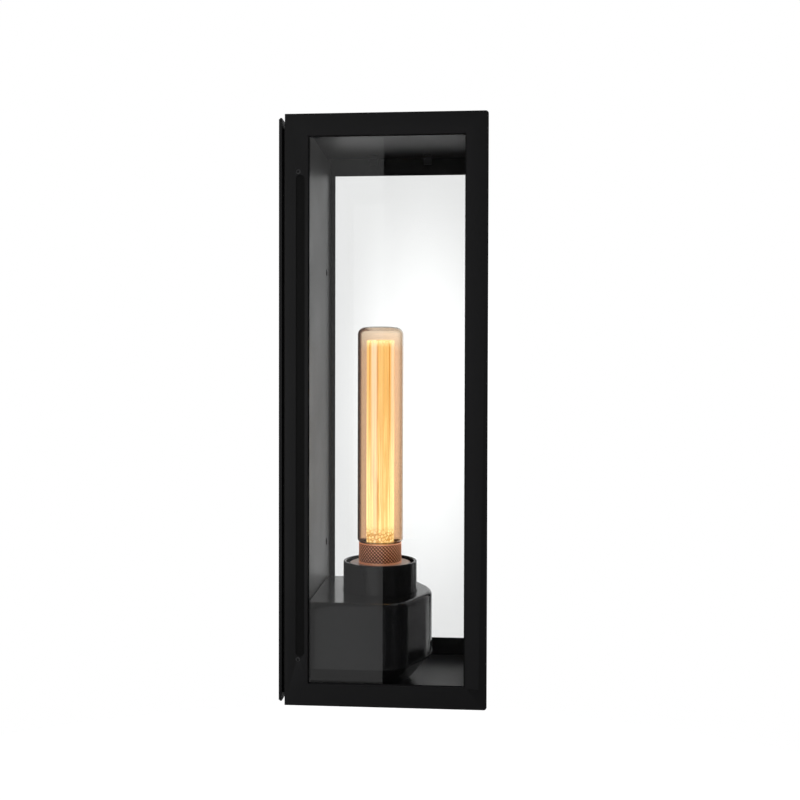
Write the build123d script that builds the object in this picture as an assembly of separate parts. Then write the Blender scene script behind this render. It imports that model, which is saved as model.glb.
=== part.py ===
from build123d import *
import os
from math import atan2, cos, radians, sin, tan

# Outdoor wall lantern, in millimetres. +Z is up, the wall is the plane Y = 0 and the lantern faces -Y.
# The origin is the middle of the wall fixing pattern, on the wall.

# ---- Cage: a box of folded sheet with a window in each side and in the front --------------------
CAGE_HEIGHT = 380.0
CAGE_WIDTH = 124.0
CAGE_DEPTH = 130.0
CAGE_SHEET = 1.2
CAGE_CORNER_R = 2.0
WALL_GAP = 4.3            # from the wall to the cage's rear edge
REAR_POST = 15.0          # margins left round the windows
FRONT_POST = 14.0
RAIL = 14.0
RETURN_DEPTH = 3.8        # lip folded inwards round the cage's rear opening, from the sheet's inner face
WEEP_HOLE_R = 2.0
WEEP_INSET = 9.0
POST_GROOVE_WIDTH = 5.6   # pressed groove down each rear post
POST_GROOVE_DEPTH = 0.4
POST_GROOVE_FROM_EDGE = 10.0
LOCK_SCREW_FROM_EDGE = 8.7
LOCK_SCREW_RUN = 156.7      # from the middle of each post's fittings to its lock screws
POST_FITTINGS_Z = -3.6      # middle of the groove and lock screws
SPOT_MARK_R = 0.6         # two weld marks at each side's lower front corner
SPOT_MARK_DEPTH = 0.3
SPOT_MARKS_FROM_FRONT = (10.7, 5.6)
SPOT_MARK_ABOVE_BASE = 12.3

# ---- Glazing ------------------------------------------------------------------------------------
GLASS = 3.0
TAPE = 0.5                # foam tape between each pane and its panel
TAPE_SHOW = 0.7           # tape seen past the window's edge
PANE_EDGE_GAP = 1.5       # pane to ceiling and floor
PANE_REAR_LAP = 2.3       # pane behind the window's rear edge
PANE_CORNER_GAP = 0.5
CLIP_PITCH = 41.0
CLIP_WIDTH = 6.0
CLIP_SHEET = 0.8
CLIP_DROP = 6.0
CLIP_FOOT = 7.0
CLIP_GAP = 0.2

# ---- Back tray, against the wall ----------------------------------------------------------------
TRAY_SHEET = 1.5
TRAY_DEPTH = 16.3         # wall to the tray's front face
TRAY_CORNER_R = 4.0
TRAY_GAP = 0.4            # tray wall to the cage's folded lip
RIM_INSET = 2.0           # rim to the cage's outline
RIM_THICKNESS = 1.3
GASKET = 0.8
GASKET_WIDTH = 5.0
GASKET_INSET = 0.5
FIXING_HOLE_R = 2.75
FIXING_SPACING_X = 80.0
FIXING_SPACING_Z = 200.0
SPACER_R = 5.5

# ---- Lampholder housing -------------------------------------------------------------------------
AXIS_Y = -60.4            # the bulb's upright axis
HOUSING_WIDTH = 96.0
HOUSING_TOP_Z = -126.7
HOUSING_SEAM_Z = -170.0
HOUSING_BASE_Z = -184.6
HOUSING_CORNER_RUN = 18.0   # side corners ahead of the bulb's axis
HOUSING_NOSE_RUN = 41.5     # point of the nose ahead of the axis, before rounding
HOUSING_CORNER_R = 16.0
HOUSING_NOSE_R = 45.0
HOUSING_TOP_R = 3.6
HOUSING_WALL = 2.0
BEAD_PROUD = 0.3
BEAD_HEIGHT = 1.6
BASE_STEP = 0.3           # base below the bead, set in
BASE_TAPER = 13.0         # base's underside, set in from its top
BASE_LIP = 5.0
LIP_GAP = 0.2
HOUSING_GASKET = 1.0
BOSS_WIDTH = 8.0
BOSS_LENGTH = 13.0
SHELL_BOSS_X = 36.0
SHELL_BOSS_Z = -134.0
BASE_BOSS_X = 24.0
BASE_BOSS_Z = -176.0
CABLE_ENTRY_Z = -150.0
CABLE_BORE_R = 4.0
GROMMET_NECK_R = 6.5
GROMMET_FLANGE_R = 9.0
GROMMET_FLANGE = 1.8

# ---- Lampholder ---------------------------------------------------------------------------------
CUP_GAP = 5.5             # holder's stem to the inside of the cup
CUP_WALL = 2.0
CUP_RIM_Z = -106.0
CUP_FOOT_PROUD = 0.5
CUP_FOOT = 1.0
HOLDER_WALL = 3.7         # ceramic round the brass sleeve
HOLDER_GAP = 0.4          # holder's stem to the holes it passes through
HOLDER_TOP_Z = -110.3
HOLDER_FLANGE_PROUD = 4.3
HOLDER_FLANGE = 3.0
HOLDER_FOOT_INSET = 1.2
HOLDER_FOOT_Z = -147.0
SOCKET_R = 14.4
SOCKET_SHEET = 0.8
SOCKET_TOP_Z = -111.4
SOCKET_FLOOR_Z = -138.0
CONTACT_WELL_R = 8.0
CONTACT_WELL_Z = -143.0
CONTACT_STEM_R = 1.5
SIDE_CONTACT_X = 11.5

# ---- Bulb: slim tube with a light guide inside --------------------------------------------------
BULB_R = 16.0
BULB_TOP_Z = 57.0
BULB_TOP_CORNER_R = 5.0
BULB_SHOULDER_Z = -93.0
BULB_SHOULDER_R = 3.0
BULB_GLASS = 0.8
NECK_R = 13.6
NECK_INTO_COLLAR = 3.0
GUIDE_R = 9.7
GUIDE_BORE_R = 6.4
GUIDE_TOP_Z = 48.0
COLLAR_R = 15.0
COLLAR_WALL = 1.3
COLLAR_BASE_GAP = 0.3     # collar's foot above the lampholder
LED_BOARD = 1.2
CAP_CREST_R = 13.1        # E27 thread
CAP_ROOT_R = 12.2
CAP_SHEET = 0.7
THREAD_PITCH = 3.62
THREAD_TURNS = 5
INSULATOR_FOOT_R = 5.0
INSULATOR_HEIGHT = 4.5
TIP_R = 4.4
TIP_HEIGHT = 2.0
SEAL_TO_CUP = 2.2
SEAL_GAP = 0.05           # running fit of the collar in the neck seal
SEAL_THICKNESS = 3.0

# ---- Fasteners and wiring -----------------------------------------------------------------------
M3_R = 1.5
M4_R = 2.0
SCREW_GAP = 0.2
FIT_GAP = 0.1             # general assembly clearance
M3_NUT_AF = 5.5
M3_NUT = 2.4
M4_NUT_AF = 7.0
M4_NUT = 3.2
LOCK_SCREW_SINK = 0.2     # head below the panel's face
LOCK_TIP_GAP = 0.2        # tip to the tray's side wall
LOCK_SOCKET_R = 0.85
LOCK_SOCKET_DEPTH = 1.6
PAN_HEAD_R = 3.6
PAN_HEAD = 2.4
TERMINAL_LENGTH = 30.0
TERMINAL_DEPTH = 16.0
TERMINAL_HEIGHT = 14.0
TERMINAL_Y = -36.0
TERMINAL_PITCH = 9.5
TERMINAL_SCREW_R = 1.8
WIRE_R = 1.1
EARTH_STUD_X = 30.0
EARTH_STUD_Z = -152.0
EARTH_STUD_LENGTH = 12.0
LUG = 1.0
LUG_R = 4.5

# ---- Places worked out from the sizes above -----------------------------------------------------
HALF_H = CAGE_HEIGHT / 2
HALF_W = CAGE_WIDTH / 2
CAGE_REAR_Y = -WALL_GAP
CAGE_FRONT_Y = CAGE_REAR_Y - CAGE_DEPTH
INNER_X = HALF_W - CAGE_SHEET
INNER_Z = HALF_H - CAGE_SHEET
INNER_FRONT_Y = CAGE_FRONT_Y + CAGE_SHEET
WINDOW_REAR_Y = CAGE_REAR_Y - REAR_POST
WINDOW_FRONT_Y = CAGE_FRONT_Y + FRONT_POST
WINDOW_Z = HALF_H - RAIL
WINDOW_X = HALF_W - FRONT_POST
WINDOW_MID_Y = (WINDOW_REAR_Y + WINDOW_FRONT_Y) / 2
LIP_X = INNER_X - RETURN_DEPTH
LIP_Z = INNER_Z - RETURN_DEPTH
LOCK_SCREW_Y = CAGE_REAR_Y - LOCK_SCREW_FROM_EDGE
POST_GROOVE_Y = CAGE_REAR_Y - POST_GROOVE_FROM_EDGE
LOCK_SCREW_Z = {side: POST_FITTINGS_Z + side * LOCK_SCREW_RUN for side in (-1, 1)}
POST_GROOVE_HALF = LOCK_SCREW_RUN - M3_R - POST_GROOVE_DEPTH

PANE_OUT_X = INNER_X - TAPE
PANE_IN_X = PANE_OUT_X - GLASS
PANE_FRONT_OUT_Y = INNER_FRONT_Y + TAPE
PANE_FRONT_IN_Y = PANE_FRONT_OUT_Y + GLASS
PANE_Z = INNER_Z - PANE_EDGE_GAP
PANE_REAR_Y = WINDOW_REAR_Y + PANE_REAR_LAP
SIDE_PANE_FRONT_Y = PANE_FRONT_IN_Y + PANE_CORNER_GAP
FRONT_PANE_X = PANE_IN_X - PANE_CORNER_GAP

TRAY_X = LIP_X - TRAY_GAP
TRAY_Z = LIP_Z - TRAY_GAP
TRAY_FACE_Y = -TRAY_DEPTH
TRAY_BACK_Y = TRAY_FACE_Y + TRAY_SHEET
RIM_X = HALF_W - RIM_INSET
RIM_Z = HALF_H - RIM_INSET
FIXINGS = [
    (sx * FIXING_SPACING_X / 2, sz * FIXING_SPACING_Z / 2) for sx in (-1, 1) for sz in (-1, 1)
]

HOUSING_REAR_Y = TRAY_FACE_Y - HOUSING_GASKET
HOUSING_HALF = HOUSING_WIDTH / 2
NOSE_ANGLE = atan2(HOUSING_NOSE_RUN - HOUSING_CORNER_RUN, HOUSING_HALF)
HOUSING_CEILING_Z = HOUSING_TOP_Z - HOUSING_WALL
HOUSING_FLOOR_Z = HOUSING_BASE_Z + HOUSING_WALL
HOUSING_BOSSES = [(sx * SHELL_BOSS_X, SHELL_BOSS_Z) for sx in (-1, 1)] + [
    (sx * BASE_BOSS_X, BASE_BOSS_Z) for sx in (-1, 1)
]
HOLDER_R = SOCKET_R + FIT_GAP + HOLDER_WALL
HOLDER_FLANGE_R = HOLDER_R + HOLDER_FLANGE_PROUD
HOLDER_FOOT_R = HOLDER_R - HOLDER_FOOT_INSET
HOLDER_SCREW_X = HOLDER_R + HOLDER_GAP + M3_R + FIT_GAP
CUP_R = HOLDER_R + CUP_GAP + CUP_WALL
CUP_FLOOR_Z = HOUSING_TOP_Z + CUP_WALL
SEAL_R = CUP_R - CUP_WALL - SEAL_TO_CUP
SHELL_INNER_R = SOCKET_R - SOCKET_SHEET
LED_BOARD_TOP_Z = BULB_SHOULDER_Z - NECK_INTO_COLLAR
COLLAR_BASE_Z = HOLDER_TOP_Z + COLLAR_BASE_GAP
LED_BOARD_R = COLLAR_R - COLLAR_WALL - FIT_GAP
CAP_FOOT_Z = COLLAR_BASE_Z - THREAD_PITCH * (THREAD_TURNS + 0.5)
INSULATOR_FOOT_Z = CAP_FOOT_Z - INSULATOR_HEIGHT
TIP_Z = INSULATOR_FOOT_Z - TIP_HEIGHT
SEAL_BASE_Z = HOLDER_TOP_Z
TERMINAL_TOP_Z = HOUSING_FLOOR_Z + TERMINAL_HEIGHT


# ---- Shape helpers ------------------------------------------------------------------------------
def block(x, y, z):
    """Block between two limits on each axis."""
    size = [abs(high - low) for low, high in (x, y, z)]
    middle = [(low + high) / 2 for low, high in (x, y, z)]
    return Pos(*middle) * Box(*size)


def turned(points, radii=None):
    """Solid turned round the bulb's axis from a closed profile of (radius, height) points."""
    line = FilletPolyline(*points, radius=radii or 0, close=True)
    face = make_face(Plane.XZ * line)
    return Pos(0, AXIS_Y, 0) * revolve(face, Axis.Z)


def ring(outer, inner, low, high):
    """Plain ring on the bulb's axis."""
    return turned([(inner, low), (outer, low), (outer, high), (inner, high)])


def disc(radius, low, high, x=0.0, y=AXIS_Y):
    """Upright cylinder between two heights."""
    return Pos(x, y, (low + high) / 2) * Cylinder(radius, high - low)


def rod_y(radius, rear, front, x, z):
    """Cylinder lying along Y between two places."""
    return Pos(x, (rear + front) / 2, z) * Rot(X=90) * Cylinder(radius, abs(rear - front))


def rod_x(radius, low, high, y, z):
    """Cylinder lying along X between two places."""
    return Pos((low + high) / 2, y, z) * Rot(Y=90) * Cylinder(radius, abs(high - low))


def plate_xz(half_x, half_z, rear, front, corner=0.0):
    """Flat plate facing along Y, with rounded corners where asked."""
    outline = RectangleRounded(2 * half_x, 2 * half_z, corner) if corner else Rectangle(2 * half_x, 2 * half_z)
    return Pos(0, max(rear, front), 0) * extrude(Plane.XZ * outline, abs(rear - front))


def hex_prism(across_flats, height):
    """Upright hexagonal prism standing on the origin."""
    return extrude(RegularPolygon(across_flats / 2, 6, major_radius=False), height)


def wire(points):
    """Wire of the wiring's size through points, with arcs as large as its runs allow."""
    vectors = [Vector(*p) for p in points]
    radii = []
    for before, here, after in zip(vectors, vectors[1:], vectors[2:]):
        turn = radians((here - before).get_angle(after - here))
        shorter = min((here - before).length, (after - here).length)
        radii.append(0.45 * shorter / tan(turn / 2))
    path = FilletPolyline(*points, radius=radii)
    start = Plane(origin=path @ 0, z_dir=path % 0)
    return sweep(start * Circle(WIRE_R), path=path)


def mirror_x(shape):
    """The same shape on the other side of the lantern."""
    return mirror(shape, Plane.YZ)


# ---- Cage ---------------------------------------------------------------------------------------
def cage_slab(left, right):
    """The cage's full height and depth between two sides, rounded along its front corners."""
    slab = block((left, right), (CAGE_REAR_Y, CAGE_FRONT_Y), (-HALF_H, HALF_H))
    return fillet(slab.edges().filter_by(Axis.X).group_by(Axis.Y)[0], CAGE_CORNER_R)


def side_panel():
    """Left side of the cage: folded sheet with its window, rear lip, groove and screw holes."""
    sheet = cage_slab(-HALF_W, -INNER_X)
    lip = block((-INNER_X, -LIP_X), (CAGE_REAR_Y, CAGE_REAR_Y - CAGE_SHEET), (-LIP_Z, LIP_Z))
    window = block((-HALF_W - 1, 0), (WINDOW_REAR_Y, WINDOW_FRONT_Y), (-WINDOW_Z, WINDOW_Z))
    panel = sheet + lip - window - post_groove()
    for side in (-1, 1):
        panel -= rod_x(M3_R, -HALF_W - 1, -INNER_X + 1, LOCK_SCREW_Y, LOCK_SCREW_Z[side])
    for distance in SPOT_MARKS_FROM_FRONT:
        place = (CAGE_FRONT_Y + distance, -HALF_H + SPOT_MARK_ABOVE_BASE)
        panel -= rod_x(SPOT_MARK_R, -HALF_W - 1, -HALF_W + SPOT_MARK_DEPTH, *place)
    return panel


def post_groove():
    """Round-ended slot that cuts the groove down the rear post's outer face."""
    slot = SlotOverall(2 * POST_GROOVE_HALF, POST_GROOVE_WIDTH, rotation=90)
    bar = extrude(Plane.YZ * slot, 1 + POST_GROOVE_DEPTH)
    return Pos(-HALF_W - 1, POST_GROOVE_Y, POST_FITTINGS_Z) * bar


def front_frame():
    """Front of the cage: a sheet with one window, rounded along its top and bottom edges."""
    sheet = block((-INNER_X, INNER_X), (CAGE_FRONT_Y, INNER_FRONT_Y), (-HALF_H, HALF_H))
    sheet = sheet & cage_slab(-INNER_X, INNER_X)
    return sheet - block((-WINDOW_X, WINDOW_X), (CAGE_FRONT_Y - 1, 0), (-WINDOW_Z, WINDOW_Z))


def top_plate():
    """Closed top of the cage, with its rear lip."""
    sheet = block((-INNER_X, INNER_X), (CAGE_REAR_Y, INNER_FRONT_Y), (INNER_Z, HALF_H))
    sheet = sheet & cage_slab(-INNER_X, INNER_X)
    lip = block((-INNER_X, INNER_X), (CAGE_REAR_Y, CAGE_REAR_Y - CAGE_SHEET), (LIP_Z, INNER_Z))
    return sheet + lip


def bottom_plate():
    """Floor of the cage: the top plate turned over, with a weep hole near each corner."""
    plate = mirror(top_plate(), Plane.XY)
    for side in (-1, 1):
        for y in (CAGE_REAR_Y - REAR_POST, INNER_FRONT_Y + WEEP_INSET + GLASS):
            plate -= disc(WEEP_HOLE_R, -HALF_H - 1, -INNER_Z + 1, side * (INNER_X - WEEP_INSET - GLASS), y)
    return plate


def side_pane():
    """Left glass pane, behind the left window."""
    return block((-PANE_OUT_X, -PANE_IN_X), (PANE_REAR_Y, SIDE_PANE_FRONT_Y), (-PANE_Z, PANE_Z))


def front_pane():
    """Front glass pane."""
    return block(
        (-FRONT_PANE_X, FRONT_PANE_X), (PANE_FRONT_OUT_Y, PANE_FRONT_IN_Y), (-PANE_Z, PANE_Z)
    )


def side_tape():
    """Foam tape that beds the left pane on its panel."""
    tape = block((-INNER_X, -PANE_OUT_X), (PANE_REAR_Y, SIDE_PANE_FRONT_Y), (-PANE_Z, PANE_Z))
    hole_y = (WINDOW_REAR_Y - TAPE_SHOW, WINDOW_FRONT_Y + TAPE_SHOW)
    hole_z = WINDOW_Z - TAPE_SHOW
    return tape - block((-HALF_W, 0), hole_y, (-hole_z, hole_z))


def front_tape():
    """Foam tape that beds the front pane on its frame."""
    tape = block((-FRONT_PANE_X, FRONT_PANE_X), (INNER_FRONT_Y, PANE_FRONT_OUT_Y), (-PANE_Z, PANE_Z))
    hole_x = WINDOW_X - TAPE_SHOW
    hole_z = WINDOW_Z - TAPE_SHOW
    return tape - block((-hole_x, hole_x), (CAGE_FRONT_Y, 0), (-hole_z, hole_z))


def clip():
    """Angle clip whose upright leg faces -X from the origin, under a ceiling at height 0."""
    foot = block((0, CLIP_FOOT), (-CLIP_WIDTH / 2, CLIP_WIDTH / 2), (-CLIP_SHEET, 0))
    leg = block((0, CLIP_SHEET), (-CLIP_WIDTH / 2, CLIP_WIDTH / 2), (-CLIP_DROP, 0))
    return foot + leg


def side_clips():
    """Four clips that hold the left pane, two under the ceiling and two on the floor."""
    clips = []
    for offset in (-CLIP_PITCH / 2, CLIP_PITCH / 2):
        upper = Pos(-PANE_IN_X + CLIP_GAP, WINDOW_MID_Y + offset, INNER_Z) * clip()
        clips += [upper, mirror(upper, Plane.XY)]
    return clips


def front_clips():
    """Four clips that hold the front pane."""
    clips = []
    for offset in (-CLIP_PITCH / 2, CLIP_PITCH / 2):
        upper = Pos(offset, PANE_FRONT_IN_Y + CLIP_GAP, INNER_Z) * Rot(Z=90) * clip()
        clips += [upper, mirror(upper, Plane.XY)]
    return clips


def weld_nuts():
    """Nuts inside the rear posts that take the lock screws."""
    nuts = []
    for side in (-1, 1):
        for end in (-1, 1):
            nut = hex_prism(M3_NUT_AF, M3_NUT) - Pos(0, 0, M3_NUT / 2) * Cylinder(M3_R, 2 * M3_NUT)
            place = Pos(side * INNER_X, LOCK_SCREW_Y, LOCK_SCREW_Z[end])
            nuts.append(place * Rot(Y=-90 * side) * nut)
    return nuts


def lock_screw(side, end):
    """Flush socket screw that clamps the cage to the tray's side wall."""
    head_x = HALF_W - LOCK_SCREW_SINK
    tip_x = TRAY_X + LOCK_TIP_GAP
    y, z = LOCK_SCREW_Y, LOCK_SCREW_Z[end]
    body = rod_x(M3_R - SEAL_GAP, tip_x, head_x, y, z)
    socket = Rot(Y=90) * hex_prism(2 * LOCK_SOCKET_R, 2 * LOCK_SOCKET_DEPTH)
    body -= Pos(head_x - LOCK_SOCKET_DEPTH, y, z) * socket
    return body if side > 0 else mirror_x(body)


# ---- Back tray ----------------------------------------------------------------------------------
def back_tray():
    """Pressed tray: flat face, walls back to the wall and a flat rim round them."""
    tray = plate_xz(TRAY_X, TRAY_Z, -GASKET, TRAY_FACE_Y, TRAY_CORNER_R)
    tray += plate_xz(RIM_X, RIM_Z, -GASKET, -GASKET - RIM_THICKNESS)
    hollow_x, hollow_z = TRAY_X - TRAY_SHEET, TRAY_Z - TRAY_SHEET
    tray -= plate_xz(hollow_x, hollow_z, 0, TRAY_BACK_Y, TRAY_CORNER_R - TRAY_SHEET)
    for x, z in FIXINGS:
        tray -= rod_y(FIXING_HOLE_R, 0, TRAY_FACE_Y - 1, x, z)
    for x, z in HOUSING_BOSSES:
        tray -= rod_y(M4_R + SCREW_GAP, 0, TRAY_FACE_Y - 1, x, z)
    tray -= rod_y(GROMMET_NECK_R, 0, TRAY_FACE_Y - 1, 0, CABLE_ENTRY_Z)
    tray -= rod_y(M4_R + FIT_GAP, 0, TRAY_FACE_Y - 1, EARTH_STUD_X, EARTH_STUD_Z)
    return tray


def wall_gasket():
    """Foam gasket between the tray's rim and the wall."""
    outer_x, outer_z = RIM_X - GASKET_INSET, RIM_Z - GASKET_INSET
    outer = plate_xz(outer_x, outer_z, 0, -GASKET)
    return outer - plate_xz(outer_x - GASKET_WIDTH, outer_z - GASKET_WIDTH, 1, -GASKET - 1)


def wall_spacers():
    """Tubes that carry the wall screws' load from the tray's face to the wall."""
    return [
        rod_y(SPACER_R, 0, TRAY_BACK_Y, x, z) - rod_y(FIXING_HOLE_R, 1, TRAY_BACK_Y - 1, x, z)
        for x, z in FIXINGS
    ]


def cable_grommet():
    """Rubber grommet in the tray's cable hole."""
    z = CABLE_ENTRY_Z
    front = TRAY_FACE_Y - GROMMET_FLANGE
    rear = TRAY_BACK_Y + GROMMET_FLANGE
    body = rod_y(GROMMET_FLANGE_R, rear, front, 0, z)
    groove = rod_y(GROMMET_FLANGE_R + 1, TRAY_BACK_Y, TRAY_FACE_Y, 0, z)
    body -= groove - rod_y(GROMMET_NECK_R, TRAY_BACK_Y, TRAY_FACE_Y, 0, z)
    return body - rod_y(CABLE_BORE_R, rear + 1, front - 1, 0, z)


def housing_screws():
    """Pan-head screws through the tray's face into the housing's bosses."""
    screws = []
    for x, z in HOUSING_BOSSES:
        head = rod_y(PAN_HEAD_R, TRAY_BACK_Y + PAN_HEAD, TRAY_BACK_Y, x, z)
        screws.append(head + rod_y(M4_R, TRAY_BACK_Y, HOUSING_REAR_Y - BOSS_LENGTH + 1, x, z))
    return screws


# ---- Lampholder housing -------------------------------------------------------------------------
def housing_plan(inset, z):
    """Plan outline of the housing at a height: straight sides and a broad rounded nose."""
    half = HOUSING_HALF - inset
    corner_y = AXIS_Y - HOUSING_CORNER_RUN + inset * (1 - sin(NOSE_ANGLE)) / cos(NOSE_ANGLE)
    nose_y = AXIS_Y - HOUSING_NOSE_RUN + inset / cos(NOSE_ANGLE)
    points = [
        (-half, HOUSING_REAR_Y), (-half, corner_y), (0, nose_y), (half, corner_y), (half, HOUSING_REAR_Y)
    ]
    corner_r = max(HOUSING_CORNER_R - inset, 2.0)
    nose_r = max(HOUSING_NOSE_R - inset, 2.0)
    line = FilletPolyline(*points, radius=[0, corner_r, nose_r, corner_r, 0], close=True)
    return Pos(0, 0, z) * make_face(line)


def housing_slab(inset, low, high):
    """Upright-sided slab of the housing's outline between two heights."""
    return extrude(housing_plan(inset, low), high - low)


def past_rear(width, low, high):
    """Block that opens a housing part's hollow through its rear edge."""
    return block((-width, width), (HOUSING_REAR_Y + 1, HOUSING_REAR_Y - 1), (low, high))


def boss(x, z, low, high):
    """Screw boss on a housing part's rear edge."""
    half = BOSS_WIDTH / 2
    body = block((x - half, x + half), (HOUSING_REAR_Y, HOUSING_REAR_Y - BOSS_LENGTH), (low, high))
    return body - rod_y(M4_R + FIT_GAP, HOUSING_REAR_Y + 1, HOUSING_REAR_Y - BOSS_LENGTH - 1, x, z)


def housing_shell():
    """Upper housing moulding: open below and behind, with a hole for the lampholder."""
    shell = housing_slab(0, HOUSING_SEAM_Z, HOUSING_TOP_Z)
    top_edges = shell.edges().group_by(Axis.Z)[-1]
    rim = [e for e in top_edges if (e @ 0.5).Y < HOUSING_REAR_Y - 0.5]
    shell = fillet(rim, HOUSING_TOP_R)
    shell += housing_slab(-BEAD_PROUD, HOUSING_SEAM_Z, HOUSING_SEAM_Z + BEAD_HEIGHT)
    shell -= housing_slab(HOUSING_WALL, HOUSING_SEAM_Z - 1, HOUSING_CEILING_Z)
    shell -= past_rear(HOUSING_HALF - HOUSING_WALL, HOUSING_SEAM_Z - 1, HOUSING_CEILING_Z)
    shell -= disc(HOLDER_R + HOLDER_GAP, HOUSING_SEAM_Z, HOUSING_TOP_Z + 1)
    for side in (-1, 1):
        x, z = side * SHELL_BOSS_X, SHELL_BOSS_Z
        shell += boss(x, z, z - BOSS_WIDTH / 2, HOUSING_CEILING_Z)
        shell -= disc(M3_R + SCREW_GAP, HOUSING_CEILING_Z - 1, HOUSING_TOP_Z + 1, side * HOLDER_SCREW_X)
    return shell


def housing_base():
    """Lower housing moulding: a tapered dish with a lip that locates in the shell."""
    low, top = HOUSING_BASE_Z, HOUSING_SEAM_Z
    slope = (BASE_TAPER - BASE_STEP) / (top - low)
    base = loft([housing_plan(BASE_TAPER, low), housing_plan(BASE_STEP, top)], ruled=True)
    floor_inset = BASE_TAPER - slope * HOUSING_WALL + HOUSING_WALL
    hollow = [housing_plan(floor_inset, HOUSING_FLOOR_Z), housing_plan(BASE_STEP + HOUSING_WALL, top)]
    lip = housing_slab(HOUSING_WALL + LIP_GAP, top, top + BASE_LIP)
    lip -= housing_slab(2 * HOUSING_WALL + LIP_GAP, top, top + BASE_LIP)
    lip -= past_rear(HOUSING_HALF - 2 * HOUSING_WALL - LIP_GAP, top, top + BASE_LIP)
    base = base - loft(hollow, ruled=True) - rear_mouth() + lip
    for side in (-1, 1):
        x, z = side * BASE_BOSS_X, BASE_BOSS_Z
        base += boss(x, z, HOUSING_FLOOR_Z, z + BOSS_WIDTH / 2)
    return base


def rear_mouth():
    """Wedge that opens the base's hollow through its rear edge."""
    return extrude(Plane.XZ.offset(-HOUSING_REAR_Y - 1) * make_face(base_outline(HOUSING_WALL)), 2)


def base_outline(inset):
    """Outline of the base's rear edge, set in by a wall."""
    top_x = HOUSING_HALF - BASE_STEP - inset
    foot_x = HOUSING_HALF - BASE_TAPER - inset
    points = [
        (-foot_x, HOUSING_BASE_Z + inset), (foot_x, HOUSING_BASE_Z + inset),
        (top_x, HOUSING_SEAM_Z), (-top_x, HOUSING_SEAM_Z)
    ]
    return Polyline(*points, close=True)


def rear_outline(inset):
    """Outline of the closed housing's rear edge, set in by an amount."""
    top_x = HOUSING_HALF - inset
    foot_x = HOUSING_HALF - BASE_TAPER - inset
    top, foot = HOUSING_TOP_Z - inset, HOUSING_BASE_Z + inset
    points = [
        (-foot_x, foot), (foot_x, foot), (top_x, HOUSING_SEAM_Z), (top_x, top),
        (-top_x, top), (-top_x, HOUSING_SEAM_Z)
    ]
    return make_face(Polyline(*points, close=True))


def housing_gasket():
    """Foam gasket between the housing and the tray."""
    seal = extrude(Plane.XZ.offset(-TRAY_FACE_Y) * rear_outline(HOUSING_TOP_R / 2), HOUSING_GASKET)
    inner = rear_outline(HOUSING_TOP_R / 2 + HOUSING_WALL)
    return seal - extrude(Plane.XZ.offset(-TRAY_FACE_Y - 1) * inner, HOUSING_GASKET + 2)


# ---- Lampholder ---------------------------------------------------------------------------------
def lampholder_cup():
    """Black skirt round the lampholder, standing on the housing."""
    foot_r = CUP_R + CUP_FOOT_PROUD
    inner = CUP_R - CUP_WALL
    hole = HOLDER_R + HOLDER_GAP
    points = [
        (hole, HOUSING_TOP_Z), (foot_r, HOUSING_TOP_Z), (foot_r, HOUSING_TOP_Z + CUP_FOOT),
        (CUP_R, HOUSING_TOP_Z + CUP_FOOT), (CUP_R, CUP_RIM_Z), (inner, CUP_RIM_Z),
        (inner, CUP_FLOOR_Z), (hole, CUP_FLOOR_Z)
    ]
    cup = turned(points, [0, 0.3, 0.3, 0, 0.8, 0.8, 1.0, 0])
    for side in (-1, 1):
        cup -= disc(M3_R - FIT_GAP, HOUSING_TOP_Z - 1, CUP_FLOOR_Z + 1, side * HOLDER_SCREW_X)
    return cup


def lampholder_body():
    """White ceramic lampholder: stem, clamping flange and foot, bored for its contacts."""
    flange_z = HOUSING_CEILING_Z
    points = [
        (0, HOLDER_FOOT_Z), (HOLDER_FOOT_R, HOLDER_FOOT_Z), (HOLDER_FOOT_R, flange_z - HOLDER_FLANGE),
        (HOLDER_FLANGE_R, flange_z - HOLDER_FLANGE), (HOLDER_FLANGE_R, flange_z), (HOLDER_R, flange_z),
        (HOLDER_R, HOLDER_TOP_Z), (0, HOLDER_TOP_Z)
    ]
    body = turned(points, [0, 1.0, 0, 0.6, 0.6, 0, 0.8, 0])
    body -= disc(SOCKET_R + FIT_GAP, SOCKET_FLOOR_Z, HOLDER_TOP_Z + 1)
    body -= disc(CONTACT_WELL_R, CONTACT_WELL_Z, SOCKET_FLOOR_Z + 1)
    body -= disc(CONTACT_STEM_R + FIT_GAP, HOLDER_FOOT_Z - 1, CONTACT_WELL_Z + 1)
    body -= disc(CONTACT_STEM_R + FIT_GAP, HOLDER_FOOT_Z - 1, SOCKET_FLOOR_Z + 1, SIDE_CONTACT_X)
    for side in (-1, 1):
        body -= disc(M3_R + FIT_GAP, flange_z - HOLDER_FLANGE - 1, flange_z + 1, side * HOLDER_SCREW_X)
    return body


def screw_shell():
    """Brass sleeve that takes the bulb's cap."""
    sleeve = ring(SOCKET_R, SHELL_INNER_R, SOCKET_FLOOR_Z, SOCKET_TOP_Z)
    floor = ring(SOCKET_R, CONTACT_WELL_R, SOCKET_FLOOR_Z, SOCKET_FLOOR_Z + SOCKET_SHEET)
    return sleeve + floor


def centre_contact():
    """Sprung contact under the bulb's tip, with its rivet through the ceramic."""
    top = TIP_Z - SCREW_GAP
    tongue = disc(TIP_R, top - 0.6, top)
    rise = disc(CONTACT_STEM_R, CONTACT_WELL_Z, top)
    foot = disc(CONTACT_WELL_R - 1, CONTACT_WELL_Z, CONTACT_WELL_Z + 0.6)
    rivet = disc(CONTACT_STEM_R, HOLDER_FOOT_Z - 2, CONTACT_WELL_Z)
    return tongue + rise + foot + rivet


def side_contact():
    """Rivet that joins the brass sleeve to its wire."""
    return disc(CONTACT_STEM_R, HOLDER_FOOT_Z - 2, SOCKET_FLOOR_Z, SIDE_CONTACT_X)


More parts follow.
